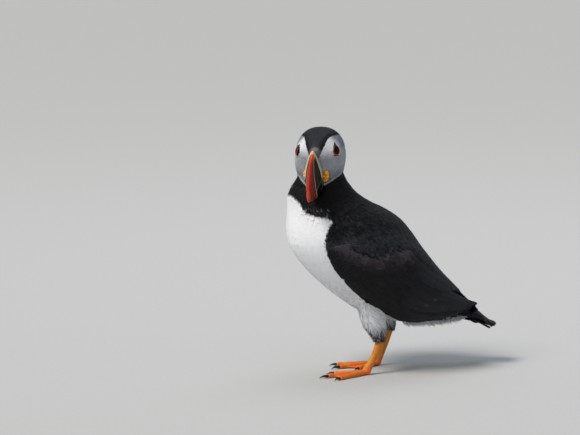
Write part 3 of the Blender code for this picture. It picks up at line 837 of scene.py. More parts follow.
@dataclass
class Markings:
    """The puffin's pattern, from its bill to its tail, for skin and feathers alike, with some painted light
    and shade in it.
    """

    # The pale cheek's edge: forward of the middle of the head, degrees up round the head's line.
    cheek: Polyline = (
        (27.0, 50.0), (22.5, 60.0), (20.4, 65.0), (18.5, 67.0), (15.0, 65.5), (11.0, 64.5), (8.0, 64.0),
        (3.3, 60.5), (-1.2, 53.5), (-7.0, 46.0), (-11.0, 40.0), (-13.9, 34.0), (-15.2, 26.0), (-14.8, 17.0),
        (-12.0, 7.0), (-8.0, -2.0), (-3.0, -10.0), (4.0, -20.0), (10.6, -30.5), (14.0, -38.0), (17.0, -47.0),
        (19.5, -58.0), (21.4, -75.0), (27.0, -80.0))
    parting: float = -0.9  # how far left of the head's middle the crown's line runs
    throat: float = -16.9  # how low the cheek's edge runs under the chin
    # The white front in side view: x from the bird's middle, height.
    front: Polyline = (
        (-95.0, 153.0), (-73.6, 149.1), (-70.4, 144.8), (-67.8, 138.9), (-64.9, 135.1), (-58.2, 133.4),
        (-49.6, 132.3), (-47.3, 129.6), (-50.4, 125.5), (-52.8, 120.7), (-53.6, 114.0), (-51.4, 104.0),
        (-36.0, 90.0), (-20.0, 80.0), (-6.0, 70.0), (6.0, 58.0), (14.0, 50.0), (26.0, 44.0), (45.0, 43.0),
        (70.0, 42.5), (95.0, 41.0), (95.0, 5.0), (-95.0, 5.0))
    ankle_ring: float = 34.0  # height at which the leg's feathers turn dark
    wing_bend: tuple[float, float, float] = (50.5, 35.0, 107.0)  # ahead, out and up

    def on_cheek(self, skull: np.ndarray) -> np.ndarray:
        """How far inside the pale cheek rows of (forward, up, left) lie, in millimetres."""
        arc = math.radians(1.0) * 20.0  # millimetres a degree at the head's mean radius
        aside = np.abs(skull[:, 2] - self.parting)
        turn = np.degrees(np.arctan2(skull[:, 1], aside))
        edge = [(forward, degrees * arc) for forward, degrees in self.cheek]
        face = polygon_distance(np.stack((skull[:, 0], turn * arc), axis=1), edge)
        return np.minimum(face, (skull[:, 1] - self.throat - 0.33 * aside) * 0.95)

    def read(self, points: np.ndarray, fray: np.ndarray) -> np.ndarray:
        """How white, grey and brown the plumage is.

        Args:
            points: Rows of points in metres in the part's frame.
            fray: How each feather's edge and tone stray, about -2 to 2.

        Returns:
            A row of three numbers from 0 to 1 for each point.
        """
        body, skull = in_bird(points), in_head(points)
        x, y, z = body.T
        forward, up, left = skull.T
        near_head = off_skull(skull) < HEAD_REACH
        inside = self.on_cheek(skull)
        cheek = step(-0.25, 0.35, inside + 0.14 * fray) * near_head
        front = polygon_distance(np.stack((x, z), axis=1), self.front)
        front = step(-0.6, 0.7, front + 0.28 * fray) * (1.0 - cheek) * (~near_head | (z < 152.0))
        # The bend of each folded wing stays dark.
        front = front * step(3.0, 4.5, np.linalg.norm(np.abs(body) - np.array(self.wing_bend), axis=1))
        white, grey, brown = np.zeros(len(points)), np.zeros(len(points)), np.zeros(len(points))
        # Cheeks: blue-grey with a thin pale hem; whiter before and above the eye and darker low down and
        # behind it, partly their own smoky tone and partly painted light and painted shade.
        bright = step(5.0, 13.0, up) * step(1.0, 9.0, forward)
        low, behind = step(0.0, -12.0, up), step(6.0, -8.0, forward)
        hem = step(1.5, 0.5, inside) * step(-2.0, -6.0, up)
        brow = step(6.0, 12.0, up) * step(7.0, 0.0, forward)
        tone = 0.36 + 0.48 * bright - 0.27 * low - 0.20 * behind - 0.22 * brow + 0.34 * hem + 0.03 * fray
        white += cheek * np.clip(tone, 0.05, 0.92)
        grey += cheek * (1.0 - 0.35 * low)
        # Crown: slate black, blackest along its edge, mauve brown where it meets the bill.
        crown = near_head * step(-8.0, 8.0, up) * (1.0 - cheek)
        grey += crown * (0.01 + 0.06 * step(-0.6, -4.0, inside))
        blaze = step(13.0, 20.5, forward) * crown * step(8.5, 2.0, np.abs(left - self.parting))
        brown += blaze * 0.60
        white += blaze * 0.34 * step(17.0, 21.5, forward)
        # Front: clean white, with a dark ring at the ankle; low on the belly it turns greyer, partly its own
        # grey streaks and partly painted shade.
        low = step(92.0, 52.0, z) * front
        streak_and_shade = np.clip(0.20 + 0.15 * fray, 0.0, 0.6) * low
        ankle = step(self.ankle_ring + 5.5, self.ankle_ring - 4.0, z + 4.5 * fray)
        side = step(8.0, 16.0, np.abs(y)) * step(4.0, 12.0, x) * step(62.0, 44.0, z) * step(30.0, 22.0, x)
        white += front * (1.0 - streak_and_shade) * (1.0 - ankle) * (1.0 - 0.45 * side)
        grey += front * (streak_and_shade + 0.3 * side)
        vent = step(24.0, 40.0, x) * front
        white -= vent * 0.42 * front
        grey += vent * 0.5
        brown += vent * 0.25 + 0.06 * low + 0.40 * ankle * front
        # Ruffled collar: loose violet brown feathers above the edge of the white, with pale flecks, partly
        # their own pale edges and partly painted glints.
        collar = (1.0 - front) * (~near_head) * step(142.0, 138.0, z)
        collar = collar * step(130.0, 134.0, z) * step(-46.0, -50.0, x)
        fleck_glint = collar * (fray > 1.35)
        white += 0.16 * fleck_glint
        brown += 0.36 * collar * (fray > -0.2)
        # Mantle: black, with a painted highlight of blue-grey along the shoulder feathers.
        mantle = (1.0 - front) * (~near_head) * step(150.0, 130.0, z)
        painted_gleam = np.exp(-((over_shoulder(body) - 5.0) / 7.0) ** 2)
        painted_gleam = painted_gleam * step(-48.0, -30.0, x) * step(60.0, 20.0, x)
        grey += mantle * np.clip(0.015 + 0.07 * painted_gleam + 0.03 * fray, 0.0, 0.3)
        return np.clip(np.stack((white, grey, brown), axis=1), 0.0, 1.0)


# ---------------------------------------------------------------------------------------------
# Skin and coat

AXIS = ((-60.0, -15.0, 196.0), (-50.0, -8.0, 180.0), (-48.0, -5.0, 165.0), (-46.0, -2.0, 148.0),
        (-38.0, 0.0, 130.0), (-24.0, 0.0, 112.0), (-6.0, 0.0, 95.0), (16.0, 0.0, 78.0), (40.0, 0.0, 63.0),
        (62.0, 0.0, 51.0), (82.0, 0.0, 43.0), (104.0, 0.0, 35.0))


def on_axis(points: np.ndarray) -> tuple[np.ndarray, np.ndarray, np.ndarray]:
    """Reads the line through the middle of the body.

    Args:
        points: Rows of points in metres in the part's frame.

    Returns:
        How far along the line each point lies, the line's direction there, and its nearest point.
    """
    rows, line = in_bird(points), np.asarray(AXIS)
    ways = unit(np.gradient(line, axis=0))
    best = np.full(len(rows), 1e9)
    share, way, spot = np.zeros(len(rows)), np.zeros_like(rows), np.zeros_like(rows)
    for k in range(len(line) - 1):
        edge = line[k + 1] - line[k]
        t = np.clip((rows - line[k]) @ edge / (edge @ edge), 0.0, 1.0)
        near = line[k] + t[:, None] * edge
        gap = np.linalg.norm(rows - near, axis=1)
        closer = gap < best
        best[closer] = gap[closer]
        share[closer] = (k + t[closer]) / (len(line) - 1)
        way[closer] = (ways[k] + (ways[k + 1] - ways[k]) * t[:, None])[closer]
        spot[closer] = near[closer]
    return share, unit(way), spot


def unwrap(points: np.ndarray) -> np.ndarray:
    """A place from 0 to 1 for each root: the body unrolled round its line, the head as a globe."""
    share, _way, spot = on_axis(points)
    out = in_bird(points) - spot
    turn = np.arctan2(out[:, 1], out[:, 2] + out[:, 0]) / (2 * math.pi) + 0.5
    body = np.stack((0.01 + 0.98 * turn, 0.01 + 0.66 * share), axis=1)
    skull = unit(in_head(points))
    globe = np.arctan2(skull[:, 2], skull[:, 0]) / (2 * math.pi) + 0.5
    height = np.arcsin(np.clip(skull[:, 1], -1.0, 1.0)) / math.pi + 0.5
    face = np.stack((0.01 + 0.98 * globe, 0.70 + 0.29 * height), axis=1)
    near = np.linalg.norm(in_head(points), axis=1) < 28.0
    return np.where(near[:, None], face, body)


@dataclass
class Body:
    """The bird's flesh: one skin under the coat, from the face to the ankles."""

    nodes: tuple[str, ...] = ("head", "neck", "trunk", "thigh_left", "thigh_right")
    filled: tuple[str, ...] = ("eye_left", "eye_right")
    voxel: float = 1.0
    depth: float = 1.1  # how deep the body's coat is
    head_depth: float = 0.7
    eye_at: tuple[float, float] = (11.0, 10.8)
    eye_roll: float = 0.6  # how much further forward and up the left eye sits, for the head is tilted
    eye_swell: float = 1.1  # how far the skin bulges round an eye
    eye_rounds: int = 40  # rounds of smoothing round an eye
    groin_rounds: int = 70  # and between belly and thighs
    furrow: Polyline = ((6.6, 10.6), (3.0, 9.6), (-1.0, 8.8), (-4.5, 7.4), (-8.0, 4.6),
                                               (-11.0, 0.5))
    hull: Object = field(init=False)
    outside: BVHTree = field(init=False)

    def build(self, markings: Markings, rng: Generator) -> Object:
        """Makes the outer form of the coat, and the skin below it.

        Args:
            markings: The pattern that the skin shares with its coat.
            rng: Frays the pattern.

        Returns:
            The skin.
        """
        self.hull = refined("skin_body", self.nodes + self.filled, self.voxel, 0.45, 7)
        mesh = self.hull.data
        self.ease_eyes(mesh)
        self.ease_groin(mesh)
        points, lifts = positions(mesh), point_normals(mesh)
        set_positions(mesh, points - lifts * 0.40 * MM)
        points, lifts = positions(mesh), point_normals(mesh)
        skull = in_head(points)
        set_positions(mesh, points - lifts * (0.55 * self.furrow_depth(skull))[:, None] * MM)
        self.outside = tree_of([self.hull])
        points, lifts = positions(mesh), point_normals(mesh)
        near = step(34.0, 26.0, np.linalg.norm(skull, axis=1))
        depth = self.depth + (self.head_depth - self.depth) * near + self.furrow_depth(skull)
        marks = markings.read(points, rng.normal(0.0, 1.0, len(points)))
        skin_mesh = mesh.copy()
        skin = new_object("skin_puffin", skin_mesh)
        set_positions(skin_mesh, points - lifts * depth[:, None] * MM)
        set_attribute(skin_mesh, "marks", np.column_stack((marks, np.full(len(points), 0.35))))
        set_attribute(skin_mesh, "vane", np.tile((0.0, 0.0, 0.4), (len(points), 1)))
        self.hull.hide_render = self.hull.hide_viewport = True
        return skin

    def ease_eyes(self, mesh: Mesh) -> None:
        """Smooths the skin round the eyes, so that they sit in a gentle swelling."""
        skull = in_head(positions(mesh))
        reach = np.hypot(skull[:, 0] - self.eye_at[0], skull[:, 1] - self.eye_at[1])
        around = (reach < 7.5) & (np.abs(skull[:, 2]) > 8.0)
        relax(mesh, around, self.eye_rounds)
        points, lifts = positions(mesh), point_normals(mesh)
        swell = self.eye_swell * np.exp(-(reach / 4.6) ** 2) * (np.abs(skull[:, 2]) > 8.0)
        set_positions(mesh, points + lifts * swell[:, None] * MM)

    def ease_groin(self, mesh: Mesh) -> None:
        """Fills the hollow between belly and thighs, where loose feathers run over it."""
        x, _y, z = in_bird(positions(mesh)).T
        around = (z > 39.0) & (z < 66.0) & (x > -42.0) & (x < 30.0)
        relax(mesh, around, self.groin_rounds)

    def furrow_depth(self, skull: np.ndarray) -> np.ndarray:
        """How much deeper the crease that runs back from each eye lies, in millimetres."""
        nearest = np.full(len(skull), 1e9)
        line = np.asarray(self.furrow)
        for a, b in zip(line, line[1:]):
            edge = b - a
            t = np.clip((skull[:, :2] - a) @ edge / (edge @ edge), 0.0, 1.0)
            nearest = np.minimum(nearest, np.linalg.norm(skull[:, :2] - a - t[:, None] * edge, axis=1))
        return 0.75 * np.exp(-(nearest / 0.9) ** 2) * (np.abs(skull[:, 2]) > 8.0)


@dataclass(frozen=True)
class Tract:
    """A tract of the coat and how its feathers grow.

    Args:
        name: The piece's name.
        slot: The record's slot that it stands for.
        vane: The form of its feathers.
        spacing: The distance between roots in millimetres.
        length: The feathers' length in millimetres, where they are shortest and longest.
        width: Their width in millimetres, likewise.
        proud: How far their tips stand out of the coat, in millimetres.
        thick: Their thickness in millimetres.
        stray: How far they turn from the lie of the coat, in radians.
        over_wings: Whether it lies over the tops of the folded wings.
    """

    name: str
    slot: Slot
    vane: Vane
    spacing: float
    length: tuple[float, float]
    width: tuple[float, float]
    proud: float = 0.25
    thick: float = 0.16
    stray: float = 0.12
    over_wings: bool = False


@dataclass
class Coat:
    """The feathers that grow on the skin, tract by tract."""

    body: Body
    markings: Markings
    wings: Sequence[Object]
    keep_off: dict[str, float] = field(default_factory=lambda: {
        "eye_left": 0.9, "eye_right": 0.9, "rosette_left": 0.2, "rosette_right": 0.2, "bill_base": 0.2})
    bridge: int = 70  # rounds of smoothing where the back meets the wings
    wrist: tuple[float, float, float] = (52.0, 36.0, 107.0)  # where roots keep clear of a wing's bend
    straightness: float = 0.72  # cosine of the sharpest bend that a feather may have
    covers: BVHTree = field(init=False)
    form: Object = field(init=False)
    outside: BVHTree = field(init=False)
    bare: list[tuple[BVHTree, float]] = field(init=False)

    def prepare(self) -> None:
        """Makes the form over body and wings, and the search trees for wings and bare parts."""
        self.covers = tree_of(self.wings)
        self.form = refined("coat_form", (*self.body.nodes, "wing_left", "wing_right"), 1.3, 0.7, 14)
        mesh = self.form.data
        rows = in_bird(positions(mesh))
        seam = (np.abs(over_shoulder(rows)) < 16.0) & (np.abs(rows[:, 1]) > 5.0) & (rows[:, 0] > -56.0)
        relax(mesh, seam, self.bridge)
        set_positions(mesh, positions(mesh) - point_normals(mesh) * 0.35 * MM)
        self.outside = tree_of([self.form])
        self.bare = [(tree_of([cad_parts[name]]), gap * MM) for name, gap in self.keep_off.items()]

    def scatter(self, mesh: Mesh, wanted: Callable[[np.ndarray], np.ndarray], spacing: float,
                rng: Generator) -> tuple[np.ndarray, np.ndarray]:
        """Sets roots evenly but not in rows.

        Args:
            mesh: The form that they lie on.
            wanted: Says which points belong to the tract.
            spacing: The least distance between roots in millimetres.
            rng: Chooses the places.

        Returns:
            The roots and the way out of the skin at each.
        """
        mesh.calc_loop_triangles()
        corners = np.empty(len(mesh.loop_triangles) * 3, np.int32)
        mesh.loop_triangles.foreach_get("vertices", corners)
        corners = corners.reshape(-1, 3)
        points, lifts = positions(mesh), point_normals(mesh)
        a, b, c = (points[corners[:, k]] for k in range(3))
        middle = wanted((a + b + c) / 3.0)
        corners, a, b, c = corners[middle], a[middle], b[middle], c[middle]
        areas = 0.5 * np.linalg.norm(np.cross(b - a, c - a), axis=1)
        count = int(areas.sum() / (spacing * MM) ** 2 * 3.2)
        pick = rng.choice(len(areas), count, p=areas / areas.sum())
        s, t = rng.random(count), rng.random(count)
        over = s + t > 1.0
        s[over], t[over] = 1.0 - s[over], 1.0 - t[over]
        w = np.stack((1.0 - s - t, s, t), axis=1)[:, :, None]
        spots = (np.stack((a[pick], b[pick], c[pick]), axis=1) * w).sum(axis=1)
        ways = unit((lifts[corners[pick]] * w).sum(axis=1))
        tree = KDTree(count)
        for i, spot in enumerate(spots):
            tree.insert(spot, i)
        tree.balance()
        free, kept = np.ones(count, bool), []
        for i in range(count):
            if free[i]:
                kept.append(i)
                for _spot, j, _gap in tree.find_range(spots[i], spacing * MM):
                    free[j] = False
        return spots[kept], ways[kept]

    def clear(self, tract: Tract, roots: np.ndarray, lifts: np.ndarray) -> np.ndarray:
        """Which roots are neither under a wing nor on a bare part.

        Args:
            tract: The tract that they belong to.
            roots: The roots in metres.
            lifts: The way out of the skin at each.

        Returns:
            True for each root that stays.
        """
        keep = np.ones(len(roots), bool)
        rows = in_bird(roots)
        above = over_shoulder(rows)
        at_wrist = step(13.0, 7.0, np.linalg.norm(np.abs(rows) - np.array(self.wrist), axis=1))
        for i, (root, lift) in enumerate(zip(roots, lifts)):
            start = Vector(root) + Vector(lift) * 0.3 * MM
            if tract.over_wings:
                keep[i] = above[i] > 0.0 or self.covers.find_nearest(start, 2.4 * MM)[0] is None
            else:
                covered = self.covers.ray_cast(start, Vector(lift), 9.0 * MM)[0] is not None
                gap = 1.0 + 2.2 * float(at_wrist[i])
                keep[i] = not covered and self.covers.find_nearest(start, gap * MM)[0] is None
            keep[i] = keep[i] and all(tree.find_nearest(start, gap)[0] is None for tree, gap in self.bare)
        return keep

    def lie(self, roots: np.ndarray, lifts: np.ndarray) -> np.ndarray:
        """The direction in which the coat lies at each root."""
        _share, way, _spot = on_axis(roots)
        skull = in_head(roots)
        back = -np.array(HEAD.to_3x3() @ Vector((-1.0, 0.0, 0.0)))
        source = np.array(head(26.0, -3.0, 0.0))
        away = unit(roots - source) + 0.35 * back
        share = step(31.0, 22.0, np.linalg.norm(skull, axis=1)) * step(-20.0, -4.0, skull[:, 0])
        flow = way * (1.0 - share[:, None]) + unit(away) * share[:, None]
        body = in_bird(roots)
        leg = step(52.0, 38.0, body[:, 2]) * step(34.0, 22.0, body[:, 0]) * step(4.0, 9.0, np.abs(body[:, 1]))
        flow = flow * (1.0 - leg[:, None]) + np.array((0.12, 0.0, -1.0)) * leg[:, None]
        flow = flow - (flow * lifts).sum(axis=1, keepdims=True) * lifts
        return unit(flow)

    def grow(self, tract: Tract, wanted: Callable[[np.ndarray], np.ndarray],
             size: Callable[[np.ndarray], np.ndarray], rng: Generator) -> Feathers:
        """Lays out one tract.

        Args:
            tract: How its feathers grow.
            wanted: Says which points belong to it.
            size: Says for each root how large its feathers are, from 0 to 1.
            rng: Chooses roots and turns.

        Returns:
            Its feathers.
        """
        form, outside = (self.form, self.outside) if tract.over_wings else (self.body.hull, self.body.outside)
        roots, lifts = self.scatter(form.data, wanted, tract.spacing, rng)
        keep = self.clear(tract, roots, lifts)
        roots, lifts = roots[keep], lifts[keep]
        count = len(roots)
        flow = self.lie(roots, lifts)
        across = np.cross(lifts, flow)
        turn = rng.normal(0.0, tract.stray, count)[:, None]
        flow = flow * np.cos(turn) + across * np.sin(turn)
        large = size(roots)
        ends = step(96.0, 78.0, in_bird(roots)[:, 0])
        lengths = (tract.length[0] + (tract.length[1] - tract.length[0]) * large * (0.3 + 0.7 * ends))
        lengths = lengths * rng.uniform(0.88, 1.12, count)
        widths = (tract.width[0] + (tract.width[1] - tract.width[0]) * large) * rng.uniform(0.85, 1.15, count)
        near = step(34.0, 26.0, np.linalg.norm(in_head(roots), axis=1))
        depth = self.body.depth + (self.body.head_depth - self.body.depth) * near
        tips = tract.proud * rng.uniform(0.4, 1.4, count)
        stations = np.array(tract.vane.stations)
        spines = np.empty((count, len(stations), 3))
        ups = np.empty_like(spines)
        for i in range(count):
            root, lift, way = Vector(roots[i]), Vector(lifts[i]), Vector(flow[i])
            for k, share in enumerate(stations):
                place = root + way * (share * lengths[i] * MM)
                hit, normal, _face, _gap = outside.ray_cast(place + lift * 8.0 * MM, -lift, 14.0 * MM)
                height = (-0.92 * depth[i] + (0.92 * depth[i] + tips[i]) * share ** 0.45) * MM
                if hit is None or normal.dot(lift) < 0.3:
                    if k:  # past the edge of the form a feather runs straight on
                        ahead = way * ((share - stations[k - 1]) * lengths[i] * MM)
                        spines[i, k] = Vector(spines[i, k - 1]) + ahead - lift * 0.1 * MM
                        ups[i, k] = ups[i, k - 1]
                        continue
                    hit, normal = place, lift
                spines[i, k] = hit + lift * height
                ups[i, k] = (normal + lift).normalized()
        bends = unit(np.diff(spines, axis=1))
        straight = (bends[:, 1:] * bends[:, :-1]).sum(axis=2).min(axis=1) > self.straightness
        roots, spines, ups, widths = roots[straight], spines[straight], ups[straight], widths[straight]
        count = len(roots)
        fray = np.repeat(np.clip(rng.normal(0.0, 1.0, count), -2.0, 2.0), len(stations))
        marks = self.markings.read(spines.reshape(-1, 3), fray).reshape(count, len(stations), 3)
        return Feathers(spines, ups, widths, np.full(count, tract.thick), marks, unwrap(roots))

    def build(self, material: Material, rng: Generator) -> None:
        """Makes every tract of the coat.

        Args:
            material: The feathers' finish.
            rng: Chooses roots, turns and tones.
        """
        self.prepare()

        def on_head(points: np.ndarray) -> np.ndarray:
            """Where the head's own feathers grow."""
            return off_skull(in_head(points)) < HEAD_REACH

        def pale(points: np.ndarray) -> np.ndarray:
            """How white the pattern is, without its fraying."""
            return self.markings.read(points, np.zeros(len(points)))[:, 0]

        def on_cheek(points: np.ndarray) -> np.ndarray:
            """The pale face."""
            return on_head(points) & (self.markings.on_cheek(in_head(points)) > 0.0)

        def on_crown(points: np.ndarray) -> np.ndarray:
            """The dark head, down to the collar."""
            return on_head(points) & (self.markings.on_cheek(in_head(points)) <= 0.0)

        def on_front(points: np.ndarray) -> np.ndarray:
            """The white front, without the legs and the vent."""
            return ~on_head(points) & (pale(points) > 0.5) & ~on_wisps(points)

        def on_wisps(points: np.ndarray) -> np.ndarray:
            """Thighs, low belly and vent, where the feathers are loose and hairy."""
            x, _y, z = in_bird(points).T
            return (z < 45.0 + 14.0 * step(20.0, 8.0, x)) & (x > -24.0)

        def on_back(points: np.ndarray) -> np.ndarray:
            """The black neck, mantle, shoulders and rump."""
            shown = ~on_head(points) & (pale(points) <= 0.5) & ~on_wisps(points)
            return shown & (in_bird(points)[:, 0] < 82.0)

        def small_to_rump(points: np.ndarray) -> np.ndarray:
            """0 on the neck and 1 on the rump."""
            return step(0.22, 0.85, on_axis(points)[0])

        def short_to_ankle(points: np.ndarray) -> np.ndarray:
            """0 at the ankles and 1 on the belly and the vent."""
            x, _y, z = in_bird(points).T
            return np.maximum(step(29.0, 46.0, z), step(30.0, 40.0, x))

        tracts = (
            (Tract("plumage_cheeks", Slot.CHEEK, PLUME, 0.56, (1.8, 2.5), (0.95, 1.2), 0.06, 0.09),
             on_cheek, small_to_rump),
            (Tract("plumage_crown", Slot.BLACK, PLUME, 0.62, (2.1, 3.1), (1.08, 1.35), 0.07, 0.09),
             on_crown, small_to_rump),
            (Tract("plumage_front", Slot.WHITE, DOWN, 1.08, (5.0, 7.5), (2.3, 3.1), 0.03, 0.07, 0.09),
             on_front, small_to_rump),
            (Tract("plumage_back", Slot.BLACK, CONTOUR, 1.22, (4.6, 13.0), (2.0, 5.6), 0.22, 0.15, 0.12,
                   True),
             on_back, small_to_rump),
            (Tract("plumage_legs_vent", Slot.WHITE, WISP, 0.74, (1.6, 7.5), (0.6, 0.85), 0.35, 0.28, 0.18),
             on_wisps, short_to_ankle),
        )
        for tract, wanted, size in tracts:
            feathers = self.grow(tract, wanted, size, rng)
            dress(feathers.mesh(tract.name, tract.vane, rng), tract.slot, material)
        bpy.data.objects.remove(self.form)


# ---------------------------------------------------------------------------------------------
# Wings and tail


def mark_core(mesh: Mesh, grey: float) -> None:
    """Gives a core under quills their dark tone, as grey as stated."""
    count = len(mesh.vertices)
    set_attribute(mesh, "marks", np.tile((0.0, grey, 0.05, 0.4), (count, 1)))
    set_attribute(mesh, "vane", np.tile((0.0, 0.0, 0.4), (count, 1)))


@dataclass
class Wing:
    """A folded wing: a core that lies on the flank, shingled with coverts and long quills."""

    side: Side
    lower: tuple[tuple[float, float, float], ...] = (
        (-53.0, -34.0, 107.5), (-49.0, -32.5, 98.0), (-40.5, -31.0, 86.0), (-28.5, -27.5, 74.5),
        (-13.5, -24.5, 63.0), (0.5, -24.0, 53.5), (18.0, -21.5, 44.0), (41.0, -16.0, 40.8),
        (64.0, -12.5, 41.5), (80.0, -9.5, 45.6), (90.8, -7.0, 49.8))
    upper: tuple[tuple[float, float, float], ...] = (
        (-50.5, -37.0, 109.0), (-42.0, -42.0, 112.0), (-27.0, -44.0, 116.0), (-8.0, -38.0, 121.0),
        (13.0, -27.0, 117.5), (30.0, -17.5, 106.5), (44.5, -12.5, 93.5), (57.0, -10.0, 81.5),
        (70.5, -8.0, 69.0), (83.0, -6.8, 58.2), (91.6, -6.4, 51.4))
    covert_end: float = 0.47
    primaries: int = 10
    secondaries: int = 9
    fringe: tuple[float, float] = (0.60, 0.90)  # from where to where along the wing wisps show below it
    wisps: int = 700
    reach: float = 168.0  # from wrist to tip, for turning a feather's length into a share of it
    sunk: float = 0.7  # how far the core lies below its feathers
    tuck: float = 1.4  # how far it lies below the shoulder feathers
    core: Object = field(init=False)
    skin: BVHTree = field(init=False)
    cover: BVHTree = field(init=False)  # the form of the back's coat, which runs over the wing's top

    def build_core(self) -> Object:
        """Makes the wing's core from its solid.

        Returns:
            The core, dressed later with the feathers' finish.
        """
        node = f"wing_{self.side.value}"
        self.core = refined(f"wing_core_{self.side.value}", [node], 0.8, 0.0, 4)
        self.skin = tree_of([self.core])
        return self.core

    def dress_core(self, material: Material) -> None:
        """Shrinks the core under its feathers and finishes it."""
        mesh = self.core.data
        points, lifts = positions(mesh), point_normals(mesh)
        points = points - lifts * self.sunk * MM
        set_positions(mesh, np.array([self.tucked(Vector(row), self.tuck) for row in points]))
        mark_core(mesh, 0.03)
        dress(self.core, Slot.BLACK, material, f"wing_{self.side.value}")

    def tucked(self, place: Vector, depth: float) -> Vector:
        """Draws a point in until it lies some millimetres under the shoulder feathers, where they reach."""
        share = float(step(-9.0, -1.0, over_shoulder(in_bird(np.array([place])))[0]))
        near, way, _face, _gap = self.cover.find_nearest(place)
        excess = (place - near).dot(way) + depth * MM
        return place - way * max(0.0, excess) * share

    def spot(self, s: float, t: float) -> tuple[Vector, Vector]:
        """A point on the outside of the wing.

        Args:
            s: How far along it, from the wrist at 0 to the tip at 1.
            t: How far across it, from its lower edge at 0 to its upper edge at 1.

        Returns:
            The point and the way out there.
        """
        def on_blade(s: float, t: float) -> Vector:
            """The point of the wing's plain blade."""
            row = along(self.lower, s) * (1.0 - t) + along(self.upper, s) * t
            row[1] *= -self.side.sign
            return bird(*row)

        inner = on_blade(min(max(s, 0.0), 0.995), min(max(t, 0.0), 1.0))
        _share, _way, middle = on_axis(np.array([inner]))
        out = inner - bird(*middle[0])
        out.z *= 0.6
        out.normalize()
        hit, normal, _face, gap = self.skin.ray_cast(inner + out * 60.0 * MM, -out)
        if hit is None or gap < 20.0 * MM or not 0.03 < t < 0.97:
            hit, normal, _face, gap = self.skin.find_nearest(inner + out * 3.0 * MM)
        return self.tucked(hit, 0.3) + on_blade(s, t) - inner, (normal + out * 0.4).normalized()

    def feather(self, start: tuple[float, float], end: tuple[float, float], stations: Sequence[float],
                root: float, tip: float) -> tuple[np.ndarray, np.ndarray]:
        """The spine of one wing feather.

        Args:
            start: Its root as (along, across).
            end: Its tip, likewise.
            stations: Where along it its points lie.
            root: The root's height over the wing in millimetres.
            tip: The tip's height in millimetres.

        Returns:
            Its points and the ways out there.
        """
        spine, ups = [], []
        for share in stations:
            s = start[0] + (end[0] - start[0]) * share
            t = start[1] + (end[1] - start[1]) * share
            place, up = self.spot(s, t)
            spine.append(place + up * (root + (tip - root) * share) * MM)
            ups.append(up)
        return np.array(spine), np.array(ups)

    def gather(self, rows: list[tuple], vane: Vane, rng: Generator) -> Feathers:
        """Turns a list of (start, end, width, thickness, root, tip) into feathers of uneven tone."""
        spines, ups, spots = [], [], []
        for start, end, _width, _thick, root, tip in rows:
            spine, up = self.feather(start, end, vane.stations, root, tip)
            spines.append(spine)
            ups.append(up)
            spots.append(tuple(0.02 + 0.96 * min(1.0, max(0.0, share)) for share in start))
        rows_of_points = np.array(spines).reshape(-1, 3)
        tone = self.tone(in_bird(rows_of_points)).reshape(len(spines), -1, 3)
        tone = tone * rng.uniform(0.5, 1.3, len(spines))[:, None, None]
        widths, thick = np.array([row[2] for row in rows]), np.array([row[3] for row in rows])
        return Feathers(np.array(spines), np.array(ups), widths, thick, tone, np.array(spots))

    def tone(self, rows: np.ndarray) -> np.ndarray:
        """White, grey and brown of feathers: a brown-violet band of coverts under the shoulder feathers,
        partly their own worn brown and partly painted sheen.
        """
        below = -over_shoulder(rows)
        band = np.exp(-((below - 4.0) / 7.0) ** 2)
        band = band * step(30.0, 12.0, rows[:, 0]) * step(-56.0, -48.0, rows[:, 0])
        quills = step(10.0, 40.0, rows[:, 0])
        grey, brown = 0.02 + 0.08 * band + 0.04 * quills, 0.03 + 0.48 * band + 0.02 * quills
        return np.stack((0.0 * below, grey, brown), axis=1)

    def build_feathers(self, material: Material, rng: Generator) -> None:
        """Makes the coverts and the quills.

        Args:
            material: The feathers' finish.
            rng: Varies their sizes.
        """
        coverts: list[tuple] = []
        s, row = -0.004, 0
        while s < self.covert_end:
            length = float(np.interp(s, (0.0, 0.12, 0.30, 0.50), (5.0, 6.5, 9.5, 14.0)))
            low, high = along(self.lower, max(0.0, s)), along(self.upper, max(0.0, s))
            height = float(np.linalg.norm(high - low))
            width = 0.46 * length + 1.2
            count = max(2, int(height / (0.50 * width)))
            for k in range(count + 1):
                t = (k + 0.5 * (row % 2)) / count + rng.normal(0.0, 0.012)
                root_s = s + rng.normal(0.0, 0.004) + 0.05 * (0.5 - t)
                drift = min(1.0, 5.0 * t)  # the wing's lower edge stays even
                end = (root_s + length * rng.uniform(0.93, 1.07) / self.reach,
                       t - 0.02 * drift + rng.normal(0.0, 0.02) * drift)
                if 0.0 < t < 1.0 and root_s > -0.04:
                    wide, rise = width * rng.uniform(0.9, 1.1), 0.55 * step(0.25, 0.45, s)
                    tip = 0.35 + 0.1 * rng.random() + rise
                    coverts.append(((root_s, t), end, wide, 0.22, -0.30 + rise, tip))
            s += 0.34 * length / self.reach
            row += 1
        coverts = [row for row in coverts if over_shoulder(in_bird(np.array(self.spot(*row[0])[0]))) < 2.5]
        piece = self.gather(coverts, COVERT, rng).mesh(f"wing_coverts_{self.side.value}", COVERT, rng)
        dress(piece, Slot.BLACK, material)
        quills: list[tuple] = []
        for k in range(self.primaries):
            share = k / (self.primaries - 1)
            start = (0.46 + 0.10 * share, 0.04 + 0.50 * share)
            end = (0.70 + 0.29 * share ** 0.75, 0.05 + 0.48 * share)
            quills.append((start, end, 8.0 - 1.8 * share, 0.5, -0.1, 0.35 + 0.50 * share))
        for k in range(self.secondaries):
            share = k / (self.secondaries - 1)
            start = (0.40 + 0.06 * share, 0.30 + 0.48 * share)
            end = (0.60 + 0.22 * share, 0.26 + 0.52 * share)
            quills.append((start, end, 8.2, 0.5, 0.0, 0.75 + 0.5 * share))
        piece = self.gather(quills, FLIGHT, rng).mesh(f"wing_quills_{self.side.value}", FLIGHT, rng)
        dress(piece, Slot.BLACK, material)

